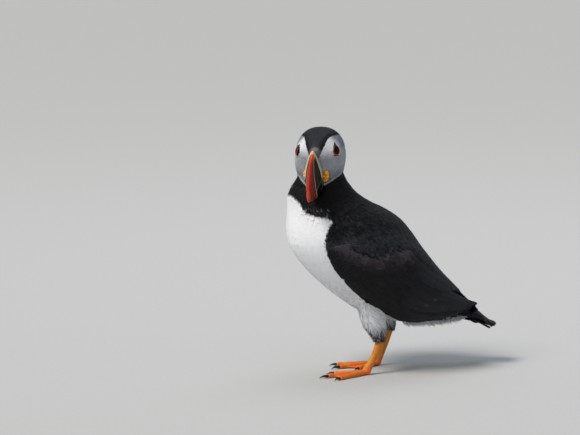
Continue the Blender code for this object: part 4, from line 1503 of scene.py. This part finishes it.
    def build_fringe(self, material: Material, rng: Generator) -> None:
        """Makes the loose whitish wisps of flank and vent that hang below the folded wing.

        Args:
            material: The feathers' finish.
            rng: Chooses roots and turns.
        """
        share = rng.uniform(*self.fringe, self.wisps)
        rows = np.array([along(self.lower, s) for s in share])
        deep = rng.random(self.wisps)
        rows[:, 1] += 1.2 + 5.5 * deep
        rows[:, 2] += 2.4 + 1.2 * deep
        fade = step(1.0, 0.75, (share - self.fringe[0]) / (self.fringe[1] - self.fringe[0]))
        hang = rng.uniform(6.0, 9.0, self.wisps) * (0.55 + 0.45 * fade)
        ways = np.stack((rng.uniform(1.5, 4.5, self.wisps), rng.normal(-0.3, 0.5, self.wisps), -hang), axis=1)
        stations = np.array(WISP.stations)[None, :, None]
        bend = stations ** 2 * np.array((1.0, 0.0, 0.4))
        spines = rows[:, None] + ways[:, None] * stations + bend
        spines[..., 1] *= -self.side.sign
        ups = np.tile((0.2, self.side.sign, 0.1), (self.wisps, len(WISP.stations), 1))
        tone = np.stack((rng.uniform(0.30, 0.80, self.wisps), rng.uniform(0.4, 0.9, self.wisps),
                         rng.uniform(0.05, 0.30, self.wisps)), axis=1)
        tone = np.repeat(tone[:, None], len(WISP.stations), axis=1)
        places = np.stack((0.05 + 0.9 * share, 0.05 + 0.9 * deep), axis=1)
        feathers = Feathers((spines + np.array(ORIGIN)) * MM, unit(ups), rng.uniform(0.7, 1.1, self.wisps),
                            np.full(self.wisps, 0.3), tone, places)
        dress(feathers.mesh(f"flank_wisps_{self.side.value}", WISP, rng), Slot.WHITE, material)


@dataclass
class Tail:
    """The short fan of the tail over a thin core."""

    root: tuple[float, float] = (80.5, 43.6)  # x and height of the quills' roots
    end: tuple[float, float] = (109.2, 33.7)
    spread: float = 13.0
    pairs: int = 8
    arch: float = 2.4

    def build(self, material: Material, rng: Generator) -> None:
        """Makes the tail's core and its quills.

        Args:
            material: The feathers' finish.
            rng: Varies the quills.
        """
        core = refined("tail_core", ["tail"], 0.7, 0.0, 3)
        points, lifts = positions(core.data), point_normals(core.data)
        fade = step(104.0, 90.0, in_bird(points)[:, 0])[:, None]
        set_positions(core.data, points - lifts * 0.25 * MM + np.array((-4.0, 0.0, 1.2)) * MM * (1 - fade))
        mark_core(core.data, 0.02)
        dress(core, Slot.BLACK, material, "tail")
        stations, tree = TAIL.stations, tree_of([core])
        spines, ups, places = [], [], []
        for layer, lift in ((0, 1.5), (1, 0.2)):
            for k in range(2 * self.pairs):
                side = (2 * k + (1, 0.4)[layer]) / (2 * self.pairs) * 2 - 1
                side = max(-0.97, min(0.97, side))
                spine = []
                for share in stations:
                    end = self.end[0] - 8.5 * side ** 4 - 2.0 * side ** 2
                    x = self.root[0] + (end - self.root[0]) * share
                    z = self.root[1] + (self.end[1] - self.root[1]) * share
                    z += lift * (1 - 0.6 * share) + 0.5 * (1 - abs(side)) - self.arch * side ** 2 * share
                    y = side * (self.spread * (0.62 + 0.38 * share))
                    place, way = bird(x, y, z), 1.0 - 2.0 * layer
                    start = place + Vector((0.0, 0.0, way * 20.0 * MM))
                    hit = tree.ray_cast(start, Vector((0.0, 0.0, -way)))[0]
                    if hit is not None:
                        place.z = (max, min)[layer](place.z, hit.z + way * (0.3 + 0.5 * (1 - abs(side))) * MM)
                    spine.append(place)
                spines.append(np.array(spine))
                up = Vector((0.3, 0.35 * side, 1.0)).normalized()
                ups.append(np.tile(up, (len(stations), 1)))
                places.append((0.1 + 0.8 * k / (2 * self.pairs), 0.3 + 0.4 * layer))
        count = len(spines)
        tone = np.tile((0.0, 0.05, 0.06), (count, len(stations), 1))
        feathers = Feathers(np.array(spines), np.array(ups), np.full(count, 7.4), np.full(count, 0.5), tone,
                            np.array(places))
        dress(feathers.mesh("tail_quills", TAIL, rng), Slot.BLACK, material)


# ---------------------------------------------------------------------------------------------
# Head: bill, rosettes and eyes


@dataclass
class Bill:
    """The deep, narrow summer bill: a cream cere at its root and two grooved jaws of horn."""

    # Each section: low and high point (forward, up), half width, and its skew towards the ridge.
    sections: tuple[tuple[float, ...], ...] = (
        (23.6, -20.6, 23.6, 16.4, 7.1, 0.55), (26.0, -20.6, 26.5, 16.0, 6.2, 0.55),
        (32.5, -20.6, 35.0, 13.6, 4.8, 0.50), (39.5, -19.5, 43.5, 8.8, 3.8, 0.40),
        (46.0, -17.0, 50.5, 2.8, 3.0, 0.30), (51.5, -14.4, 55.4, -3.2, 2.2, 0.15),
        (55.4, -12.9, 57.8, -8.2, 1.1, 0.0), (57.3, -12.2, 58.1, -10.9, 0.5, 0.0))
    sides: int = 88
    notch: float = 3.4  # how far the root draws back at the mouth's corners
    lean: tuple[float, float] = (-1.1, -0.2)  # how far left of the head's middle root and tip lie
    aside: float = -1.0  # how much further left the root's flanks lie than its ridge
    gape: tuple[float, float] = (20.0, -8.6)
    gape_slope: float = -0.13
    # The cream ridge in side view; its ends run on well past the bill.
    ridge: Polyline = (
        (15.0, 40.0), (24.2, 16.6), (26.4, 14.2), (30.0, 12.0), (33.2, 9.3), (36.4, 6.2), (38.6, 3.2),
        (40.2, -1.0), (41.0, -4.8), (41.2, -8.6), (40.0, -12.5), (37.5, -17.0), (34.0, -23.0), (20.0, -60.0))
    # Half the width of the bright stripe down the bill's top, by how far forward; the flanks beside it are
    # painted shade.
    stripe: Polyline = (
        (24.0, 0.9), (27.0, 1.1), (34.0, 1.25), (42.0, 1.6), (48.0, 1.6), (54.0, 1.4), (58.0, 1.4))
    grooves: tuple[float, ...] = (3.8, 7.8)  # ahead of the ridge
    gap: float = 0.15

    def point(self, share: float, angle: float, grow: float = 0.0) -> Vector:
        """A point of the bill in (forward, up, left): angle 0 is its keel, pi its ridge."""
        low_f, low_u, high_f, high_u, half, skew = along(self.sections, share)
        reach = math.hypot(high_f - low_f, high_u - low_u) / 2.0
        swell = 1.0 + grow / max(reach, 0.3)
        middle_f, middle_u = (low_f + high_f) / 2.0, (low_u + high_u) / 2.0
        fall = math.cos(angle) * swell
        notch = self.notch * max(0.0, 1.0 - share * (len(self.sections) - 1) / 3.0) ** 2
        forward = middle_f - (high_f - low_f) / 2.0 * fall - notch * math.sin(angle) ** 2
        up = middle_u - (high_u - low_u) / 2.0 * fall
        left = (half + grow) * math.sin(angle + skew * math.sin(angle))
        left *= 1.0 if left > 0.0 else 1.0 + 0.10 * max(0.0, 1.0 - share * 2.0)
        left += self.aside * math.sin(angle) ** 2 * max(0.0, 1.0 - share * 2.0)
        return Vector((forward, up, left + self.lean[0] + (self.lean[1] - self.lean[0]) * min(1.0, share)))

    def ahead(self, rows: np.ndarray) -> np.ndarray:
        """How far ahead of the cream ridge rows of (forward, up) lie, in millimetres."""
        return polygon_distance(rows, (*self.ridge, (90.0, -60.0), (90.0, 40.0)))

    def above_gape(self, forward: float, up: float) -> float:
        """How far above the line of the mouth a point lies, in millimetres."""
        return up - self.gape[1] - self.gape_slope * (forward - self.gape[0])

    def carve(self, place: Vector) -> float:
        """The relief of the horn at a point: the ridge stands up, grooves cut in."""
        ahead = float(self.ahead(np.array([place[:2]]))[0])
        relief = 0.42 * math.exp(-(ahead / 0.55) ** 2) - 0.16 * math.exp(-((ahead + 1.1) / 0.5) ** 2)
        for groove in self.grooves:
            relief -= 0.30 * math.exp(-((ahead - groove) / 0.55) ** 2) * min(1.0, abs(place.z) / 2.0)
            relief += 0.14 * math.exp(-((ahead - groove - 1.1) / 0.6) ** 2) * min(1.0, abs(place.z) / 2.0)
        return relief

    def stretch(self, start: float, end: float, steps: int, crown: float, carved: bool) -> bmesh.types.BMesh:
        """A closed stretch of the bill in head coordinates.

        Args:
            start: Where it starts along the bill, from 0 to 1.
            end: Where it ends.
            steps: How many rings it has, less one.
            crown: How far its middle stands out of the bill's own surface, in millimetres.
            carved: Whether it has the ridge and the grooves.

        Returns:
            The bmesh, in metres in the part's frame.
        """
        rings = []
        for k in range(steps + 1):
            share = start + (end - start) * k / steps
            grow = crown * math.sin(math.pi * k / steps) ** 0.5 if crown else 0.0
            ring = []
            for j in range(self.sides):
                angle = 2.0 * math.pi * j / self.sides
                place = self.point(share, angle, grow)
                if carved:
                    place = self.point(share, angle, grow + self.carve(place) * min(1.0, 6.0 * (1.0 - share)))
                ring.append(head(*place))
            rings.append(ring)
        return loft(rings)

    def zones(self, obj: Object) -> None:
        """Stores the distances that the horn's finish reads."""
        rows = in_head(positions(obj.data))
        crest = np.array([self.point(float(s), math.pi) for s in np.linspace(0.0, 1.0, 80)])
        gaps = np.linalg.norm(rows[:, None, :] - crest[None], axis=2)
        middle = crest[gaps.argmin(axis=1), 2]
        stripe = np.abs(rows[:, 2] - middle) / np.interp(rows[:, 0], *zip(*self.stripe))
        set_attribute(obj.data, "ridge", self.ahead(rows[:, :2]))
        set_attribute(obj.data, "gape", np.array([self.above_gape(f, u) for f, u, _l in rows]))
        set_attribute(obj.data, "culmen", np.maximum(stripe, gaps.min(axis=1) / 4.5))
        set_attribute(obj.data, "reach", rows[:, 0] - 24.0)

    def build(self, horn: Material, cere: Material) -> None:
        """Makes the cere and both jaws.

        Args:
            horn: The finish of the jaws.
            cere: The finish of the fleshy strip at the root.
        """
        last = len(self.sections) - 1
        strip = self.stretch(-0.35 / last, 0.66 / last, 12, 0.36, False)
        piece = from_bmesh("bill_cere", strip)
        rows = in_head(positions(piece.data))
        # The cere turns dark towards its lower end.
        set_attribute(piece.data, "wear_and_shade", step(-7.0, -9.5, rows[:, 1]))
        dress(piece, Slot.CREAM, cere, "bill_base")
        for name, way in (("upper", 1.0), ("lower", -1.0)):
            bm = self.stretch(0.45 / last, 1.0, 84, 0.0, True)
            middle = head(self.gape[0], self.gape[1] + way * self.gap, 0.0)
            normal = HEAD.to_3x3() @ Vector((self.gape_slope, 0.0, 1.0)) * -way
            geometry = bm.verts[:] + bm.edges[:] + bm.faces[:]
            bmesh.ops.bisect_plane(bm, geom=geometry, plane_co=middle, plane_no=normal, clear_outer=True)
            bmesh.ops.holes_fill(bm, edges=[edge for edge in bm.edges if edge.is_boundary])
            bmesh.ops.triangulate(bm, faces=[face for face in bm.faces if len(face.verts) > 4])
            jaw = from_bmesh(f"bill_horn_{name}", bm)
            self.zones(jaw)
            dress(jaw, Slot.RED, horn, f"bill_{name}")


@dataclass
class Rosette:
    """The folded yellow skin at a corner of the mouth."""

    side: Side
    length: float = 8.8
    width: float = 4.6
    out: float = 0.0  # how much further out it stands, in millimetres
    tilt: float = 0.16  # how much its lower end draws in

    def build(self, material: Material) -> None:
        """Makes the rosette over its solid.

        Args:
            material: Its finish.
        """
        node = f"rosette_{self.side.value}"
        low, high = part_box(node)
        middle = (low + high) / 2.0
        piece = refined(f"rosette_folds_{self.side.value}", [node], 0.22, 0.1, 6)
        points, lifts = positions(piece.data), point_normals(piece.data)
        local = (points - np.array(middle)) @ np.array(HEAD.to_3x3()) / MM
        # Three lobes down its length, each coiled round its own middle.
        down = local[:, 2] / self.length * 3.0
        lobe = np.clip(np.round(down), -1.0, 1.0)
        across, upright = local[:, 0] / (self.width / 2.0), (down - lobe) * 2.0
        out = np.hypot(across, upright)
        coil = np.sin(2 * math.pi * out * 1.15 + np.arctan2(upright, across) + lobe)
        crease = np.exp(-((np.abs(down - lobe) - 0.5) / 0.10) ** 2)
        height = 0.36 * coil - 0.70 * crease + 0.2
        aside = np.array(HEAD.to_3x3() @ Vector((0.0, self.side.sign, 0.0)))
        shift = (self.out + self.tilt * (local[:, 2] - 3.0))[:, None] * aside
        set_positions(piece.data, points + (lifts * height[:, None] + shift) * MM)
        # Painted shade: the creases between the lobes and the hollows of the coils take the deeper orange.
        set_attribute(piece.data, "wear_and_shade", np.clip(0.7 * crease + 0.15 - 0.5 * coil, 0.0, 1.0))
        dress(piece, Slot.YELLOW, material, node)


@dataclass
class Eye:
    """An eye in its red ring, with the small horny plates above and below it."""

    side: Side
    ball_radius: float = 3.9
    oval: float = 0.86  # its length over its height
    ring_radius: float = 3.35
    ring_thick: float = 0.37
    plate: tuple[float, float] = (4.6, 2.5)  # the upper plate's height and half width
    bar: tuple[float, float] = (4.6, 0.9)  # the lower plate's length and height

    def build(self, body: Body, eye: Material, red: Material,
              plate: Material) -> None:
        """Makes eyeball, ring and plates.

        Args:
            body: Gives the skin round the eye.
            eye: The eyeball's finish.
            red: The ring's finish.
            plate: The plates' finish.
        """
        node = f"eye_{self.side.value}"
        side = HEAD.to_3x3() @ Vector((0.0, self.side.sign, 0.0))
        lean = -self.side.sign * body.eye_roll
        spot = head(body.eye_at[0] + lean, body.eye_at[1] + lean, 0.0)
        hit, out, _face, _gap = body.outside.ray_cast(spot + side * 40 * MM, -side)
        up = HEAD.to_3x3() @ Vector((0.40, 0.0, 1.0))
        up = (up - out * up.dot(out)).normalized()
        forward = up.cross(out) * -self.side.sign
        place = Matrix((forward, up, out)).transposed().to_4x4()
        place.translation = hit
        ball = bmesh.new()
        bmesh.ops.create_uvsphere(ball, u_segments=48, v_segments=32, radius=self.ball_radius * MM)
        bmesh.ops.scale(ball, vec=(self.oval, 1.0, 0.62), verts=ball.verts[:])
        bmesh.ops.transform(ball, matrix=place @ Matrix.Translation((0, 0, -1.55 * MM)), verts=ball.verts[:])
        piece = from_bmesh(f"eyeball_{self.side.value}", ball)
        local = (positions(piece.data) - np.array(hit)) @ np.array(place.to_3x3()) / MM
        set_attribute(piece.data, "disc", np.hypot(local[:, 0], local[:, 1]))
        dress(piece, Slot.EYE, eye, node)
        ring = bmesh.new()
        profile = bmesh.ops.create_circle(ring, segments=14, radius=self.ring_thick * MM)["verts"]
        bmesh.ops.scale(ring, vec=(1.0, 0.75, 1.0), verts=profile)
        upright = Matrix.Rotation(math.radians(90), 3, "X")
        bmesh.ops.rotate(ring, cent=(0, 0, 0), matrix=upright, verts=profile)
        bmesh.ops.translate(ring, vec=(self.ring_radius * MM, 0, 0), verts=profile)
        bmesh.ops.spin(ring, geom=ring.verts[:] + ring.edges[:], cent=(0, 0, 0), axis=(0, 0, 1),
                       angle=2 * math.pi, steps=56, use_merge=True)
        for vert in ring.verts:
            turn = math.atan2(vert.co.y, vert.co.x)
            vert.co.x *= self.oval
            vert.co.y *= 1.0 + 0.22 * max(0.0, math.sin(turn)) ** 6
            vert.co.z += (0.05 * math.sin(15 * turn) - 0.12 - 0.30 * max(0.0, math.sin(turn))) * MM
        bmesh.ops.transform(ring, matrix=place, verts=ring.verts[:])
        piece = from_bmesh(f"eye_ring_{self.side.value}", ring)
        local = (positions(piece.data) - np.array(hit)) @ np.array(place.to_3x3()) / MM
        # The ring turns dark towards its top.
        set_attribute(piece.data, "wear_and_shade", step(0.6, 2.6, local[:, 1]))
        dress(piece, Slot.RED, red)
        self.build_plates(place, body, plate)

    def build_plates(self, place: Matrix, body: Body, material: Material) -> None:
        """Makes the three-cornered plate above the eye and the bar below it.

        Args:
            place: The eye's own frame: forward, up and out.
            body: Gives the skin that they lie on.
            material: Their finish.
        """
        height, half = self.plate
        length, tall = self.bar
        shapes = {"upper": ((-half, 3.1), (half * 0.8, 3.3), (0.5, 3.1 + height)),
                  "lower": ((-length / 2, -3.5), (length / 2, -3.2), (length / 2 + 0.4, -3.2 - tall),
                            (-length / 2 + 0.3, -3.5 - tall))}
        for name, corners in shapes.items():
            bm = bmesh.new()
            verts = bmesh.ops.create_circle(bm, segments=len(corners), radius=1.0)["verts"]
            for vert, (x, y) in zip(verts, corners):
                vert.co = Vector((x, y, 0.0)) * MM
            face = bmesh.ops.contextual_create(bm, geom=bm.edges[:])["faces"]
            grown = bmesh.ops.extrude_face_region(bm, geom=face)["geom"]
            top = [item for item in grown if isinstance(item, bmesh.types.BMVert)]
            bmesh.ops.translate(bm, vec=(0, 0, 1.1 * MM), verts=top)
            bmesh.ops.bevel(bm, geom=bm.edges[:], offset=0.42 * MM, segments=4, profile=0.5,
                            affect="EDGES", material=-1)
            bmesh.ops.triangulate(bm, faces=bm.faces[:])
            bmesh.ops.subdivide_edges(bm, edges=[e for e in bm.edges if e.calc_length() > 0.8 * MM], cuts=2)
            bmesh.ops.transform(bm, matrix=place, verts=bm.verts[:])
            for vert in bm.verts:
                local = place.inverted() @ vert.co
                hit, _normal, _face, _gap = body.outside.ray_cast(vert.co + place.col[2].xyz * 6 * MM,
                                                                  -place.col[2].xyz)
                if hit is not None:
                    vert.co = hit + place.col[2].xyz * (local.z - 0.75 * MM)
            piece = from_bmesh(f"eye_plate_{name}_{self.side.value}", bm)
            set_attribute(piece.data, "wear_and_shade", np.zeros(len(piece.data.vertices)))
            dress(piece, Slot.BLACK, material)


# ---------------------------------------------------------------------------------------------
# Feet


@dataclass
class Foot:
    """A webbed foot with its bare shank and three claws."""

    side: Side
    ankle: tuple[float, float, float]
    ball: tuple[float, float, float]
    aim: float
    toes: tuple[tuple[str, float, float, float], ...] = (
        ("outer", 24.0, 33.0, 2.3), ("middle", 2.0, 35.0, 2.5), ("inner", -24.0, 26.0, 2.2))
    scute: float = 1.7  # the length of a scale along a toe

    def toe_lines(self) -> list[tuple[np.ndarray, np.ndarray, float]]:
        """The start, direction and radius of each toe, seen from above."""
        lines = []
        for _name, turn, _length, radius in self.toes:
            angle = math.radians(-self.aim + self.side.sign * turn)
            way = np.array((-math.cos(angle), math.sin(angle)))
            lines.append((np.array(self.ball[:2]), way, radius))
        return lines

    def build(self, skin: Material, claw: Material) -> None:
        """Makes the foot's skin with its scutes, and its claws.

        Args:
            skin: The finish of shank, toes and webs.
            claw: The finish of the claws.
        """
        node = f"foot_{self.side.value}"
        piece = refined(f"foot_skin_{self.side.value}", [node], 0.45, 0.0, 4)
        points, lifts = positions(piece.data), point_normals(piece.data)
        rows = in_bird(points)
        nearest, travel, over = np.full(len(rows), 1e9), np.zeros(len(rows)), np.zeros(len(rows))
        for start, way, radius in self.toe_lines():
            reach = rows[:, :2] - start
            ahead = reach @ way
            aside = np.abs(reach @ np.array((-way[1], way[0])))
            closer = (aside < nearest) & (ahead > -3.0)
            nearest[closer], travel[closer] = aside[closer], ahead[closer]
            over[closer] = step(radius * 1.25, radius * 0.75, aside[closer])
        shank = step(4.5, 8.5, rows[:, 2])
        place = travel * (1.0 - shank) + rows[:, 2] * shank
        size = self.scute * (1.0 + 0.35 * shank)
        ridge = np.abs(np.sin(math.pi * place / size)) ** 0.6
        top = np.clip(lifts[:, 2] * 1.4, 0.0, 1.0) * over * (1.0 - shank)
        top = top + shank * step(0.3, -0.4, lifts[:, 0])
        ankle = step(24.0, 30.0, rows[:, 2])
        creases = np.sin(rows[:, 2] * 4.2 + np.sin(rows[:, 1] * 1.7)) * ankle
        height = 0.24 * (ridge - 1.0) * top + 0.22 * creases
        web = (1.0 - over) * (1.0 - shank)
        height += 0.10 * np.sin(nearest * 3.6) * web
        height *= step(0.15, 0.8, rows[:, 2])
        set_positions(piece.data, points + lifts * height[:, None] * MM)
        joints = np.exp(-((np.mod(travel, 11.0) - 5.5) / 1.6) ** 2) * over
        wear_and_shade = np.clip(0.75 * joints + 0.8 * ankle + 0.75 * shank + 0.2 * over, 0.0, 1.0) * (1.0 - 0.9 * web)
        set_attribute(piece.data, "wear_and_shade", wear_and_shade)
        dress(piece, Slot.ORANGE, skin, node)
        for toe, *_sizes in self.toes:
            nail = f"claw_{self.side.value}_{toe}"
            piece = refined(f"nail_{self.side.value}_{toe}", [nail], 0.28, 0.0, 3)
            points, lifts = positions(piece.data), point_normals(piece.data)
            set_attribute(piece.data, "wear_and_shade", np.zeros(len(points)))
            dress(piece, Slot.CLAW, claw, nail)


# ---------------------------------------------------------------------------------------------
# Studio


@dataclass
class Studio:
    """A pale paper floor, soft lights and a long lens level with the bird."""

    azimuth: float = -20.0
    elevation: float = 8.0
    distance: float = 3.0
    view_width: float = 478.5  # millimetres across the picture at the bird
    sun: float = 2.8  # the key light's strength
    softness: float = 24.0  # how wide it looks, in degrees
    air: float = 0.46  # the strength of the light from all round
    sensor: float = 36.0
    aim: tuple[float, float] = (-67.65, 125.8)  # the picture's middle, right of and above the bird's foot

    def frame_axes(self) -> tuple[Vector, Vector, Vector]:
        """The camera's right, up and back."""
        a, e = math.radians(self.azimuth), math.radians(self.elevation)
        right = Vector((math.cos(a), math.sin(a), 0.0))
        back = Vector((math.sin(a) * math.cos(e), -math.cos(a) * math.cos(e), math.sin(e)))
        return right, back.cross(right), back

    def build_camera(self) -> None:
        """Sets the camera at the viewing angle."""
        right, up, back = self.frame_axes()
        camera = bpy.data.cameras.new("camera")
        camera.sensor_width = self.sensor
        camera.lens = self.sensor * self.distance / (self.view_width * MM)
        camera.clip_end = 50.0
        obj = bpy.data.objects.new("camera", camera)
        bpy.context.scene.collection.objects.link(obj)
        place = Matrix((right, up, back)).transposed().to_4x4()
        aside = (right * self.aim[0] + up * self.aim[1]) * MM
        place.translation = bird(0, 0, 0) + aside + back * self.distance
        obj.matrix_world = place
        bpy.context.scene.camera = obj

    def build_lights(self) -> None:
        """Sets a broad high key light, as even as open shade, and a soft light from above."""
        right, up, back = self.frame_axes()
        middle = bird(0.0, 0.0, 100.0)
        lights = (("key", -0.95, 1.35, 0.95, 1.4, 0.0, "#fff9f0"),
                  ("top", 0.15, 1.5, -0.4, 0.9, 5.0, "#eef3ff"))
        for name, side, height, toward, size, power, colour in lights:
            light = bpy.data.lights.new(name, "AREA" if power else "SUN")
            light.energy, light.color = power or self.sun, linear(colour)[:3]
            if power:
                light.size = size
            else:
                light.angle = math.radians(self.softness)
            obj = bpy.data.objects.new(name, light)
            bpy.context.scene.collection.objects.link(obj)
            obj.location = middle + right * side + up * height + back * toward
            obj.rotation_euler = (middle - obj.location).to_track_quat("-Z", "Y").to_euler()
        world = bpy.data.worlds.new("studio_air")
        world.use_nodes = True
        ground = world.node_tree.nodes["Background"]
        ground.inputs["Color"].default_value = linear("#e3e9f0")
        ground.inputs["Strength"].default_value = self.air
        bpy.context.scene.world = world
        bpy.context.scene.view_settings.view_transform = "Standard"

    def build_floor(self, material: Material) -> None:
        """Makes the floor, a flat square under the bird.

        Args:
            material: The paper's finish.
        """
        bm = bmesh.new()
        bmesh.ops.create_grid(bm, x_segments=1, y_segments=1, size=5.0)
        sweep = from_bmesh("floor", bm)
        sweep.data.materials.append(material)

    def build(self, material: Material) -> None:
        """Makes the camera, the floor and the lights."""
        self.build_camera()
        self.build_floor(material)
        self.build_lights()


def main() -> None:
    """Builds the bird, piece by piece, and its studio."""
    logging.basicConfig(level=logging.INFO, format="%(name)s %(message)s")
    rng = np.random.default_rng(SEED)
    feathers = PlumageFinish().material()
    red_skin = SkinFinish("orbital_ring_skin", "#d8341a", "#2a0f0c", "#8c180c", 0.5, 0.05, 0.38).material()
    yellow_skin = SkinFinish("rosette_skin", "#ffb612", "#dc7a0c", "#d88a10", 0.6, 0.06, 0.40).material()
    cere_skin = SkinFinish("cere_skin", "#dcc9aa", "#1d1613", "#a08562", 0.5, 0.05, 0.50).material()
    foot_skin = SkinFinish("foot_skin", "#f06a10", "#cb8a14", "#b04c0a", 0.6, 0.05, 0.42).material()
    claw_horn = SkinFinish("claw_horn", "#141110", "#241c18", "#050505", 0.8, 0.04, 0.34).material()
    plate_horn = SkinFinish("orbital_plate_horn", "#16191f", "#1c2027", "#0a0b0d", 0.7, 0.05, 0.5).material()
    markings = Markings()
    body = Body()
    skin = body.build(markings, rng)
    dress(skin, Slot.WHITE, feathers, *body.nodes)
    wings = [Wing(Side.LEFT), Wing(Side.RIGHT)]
    cores = [wing.build_core() for wing in wings]
    coat = Coat(body, markings, cores)
    coat.build(feathers, rng)
    for wing in wings:
        wing.cover = coat.outside
        wing.dress_core(feathers)
        wing.build_feathers(feathers, rng)
        wing.build_fringe(feathers, rng)
    Tail().build(feathers, rng)
    Bill().build(HornFinish().material(), cere_skin)
    for side in Side:
        Rosette(side, out=0.2 if side is Side.LEFT else 1.1).build(yellow_skin)
        plates = {} if side is Side.LEFT else {"plate": (2.6, 1.5), "bar": (3.4, 0.6)}
        Eye(side, **plates).build(body, EyeFinish().material(), red_skin, plate_horn)
    Foot(Side.LEFT, (0.0, -18.0, 28.4), (-12.0, -18.5, 3.6), 4.0).build(foot_skin, claw_horn)
    Foot(Side.RIGHT, (22.4, 18.0, 31.4), (11.5, 18.5, 3.6), 10.0).build(foot_skin, claw_horn)
    bpy.data.objects.remove(body.hull)
    Studio().build(StudioFinish().material())


if __name__ == "__main__":
    main()
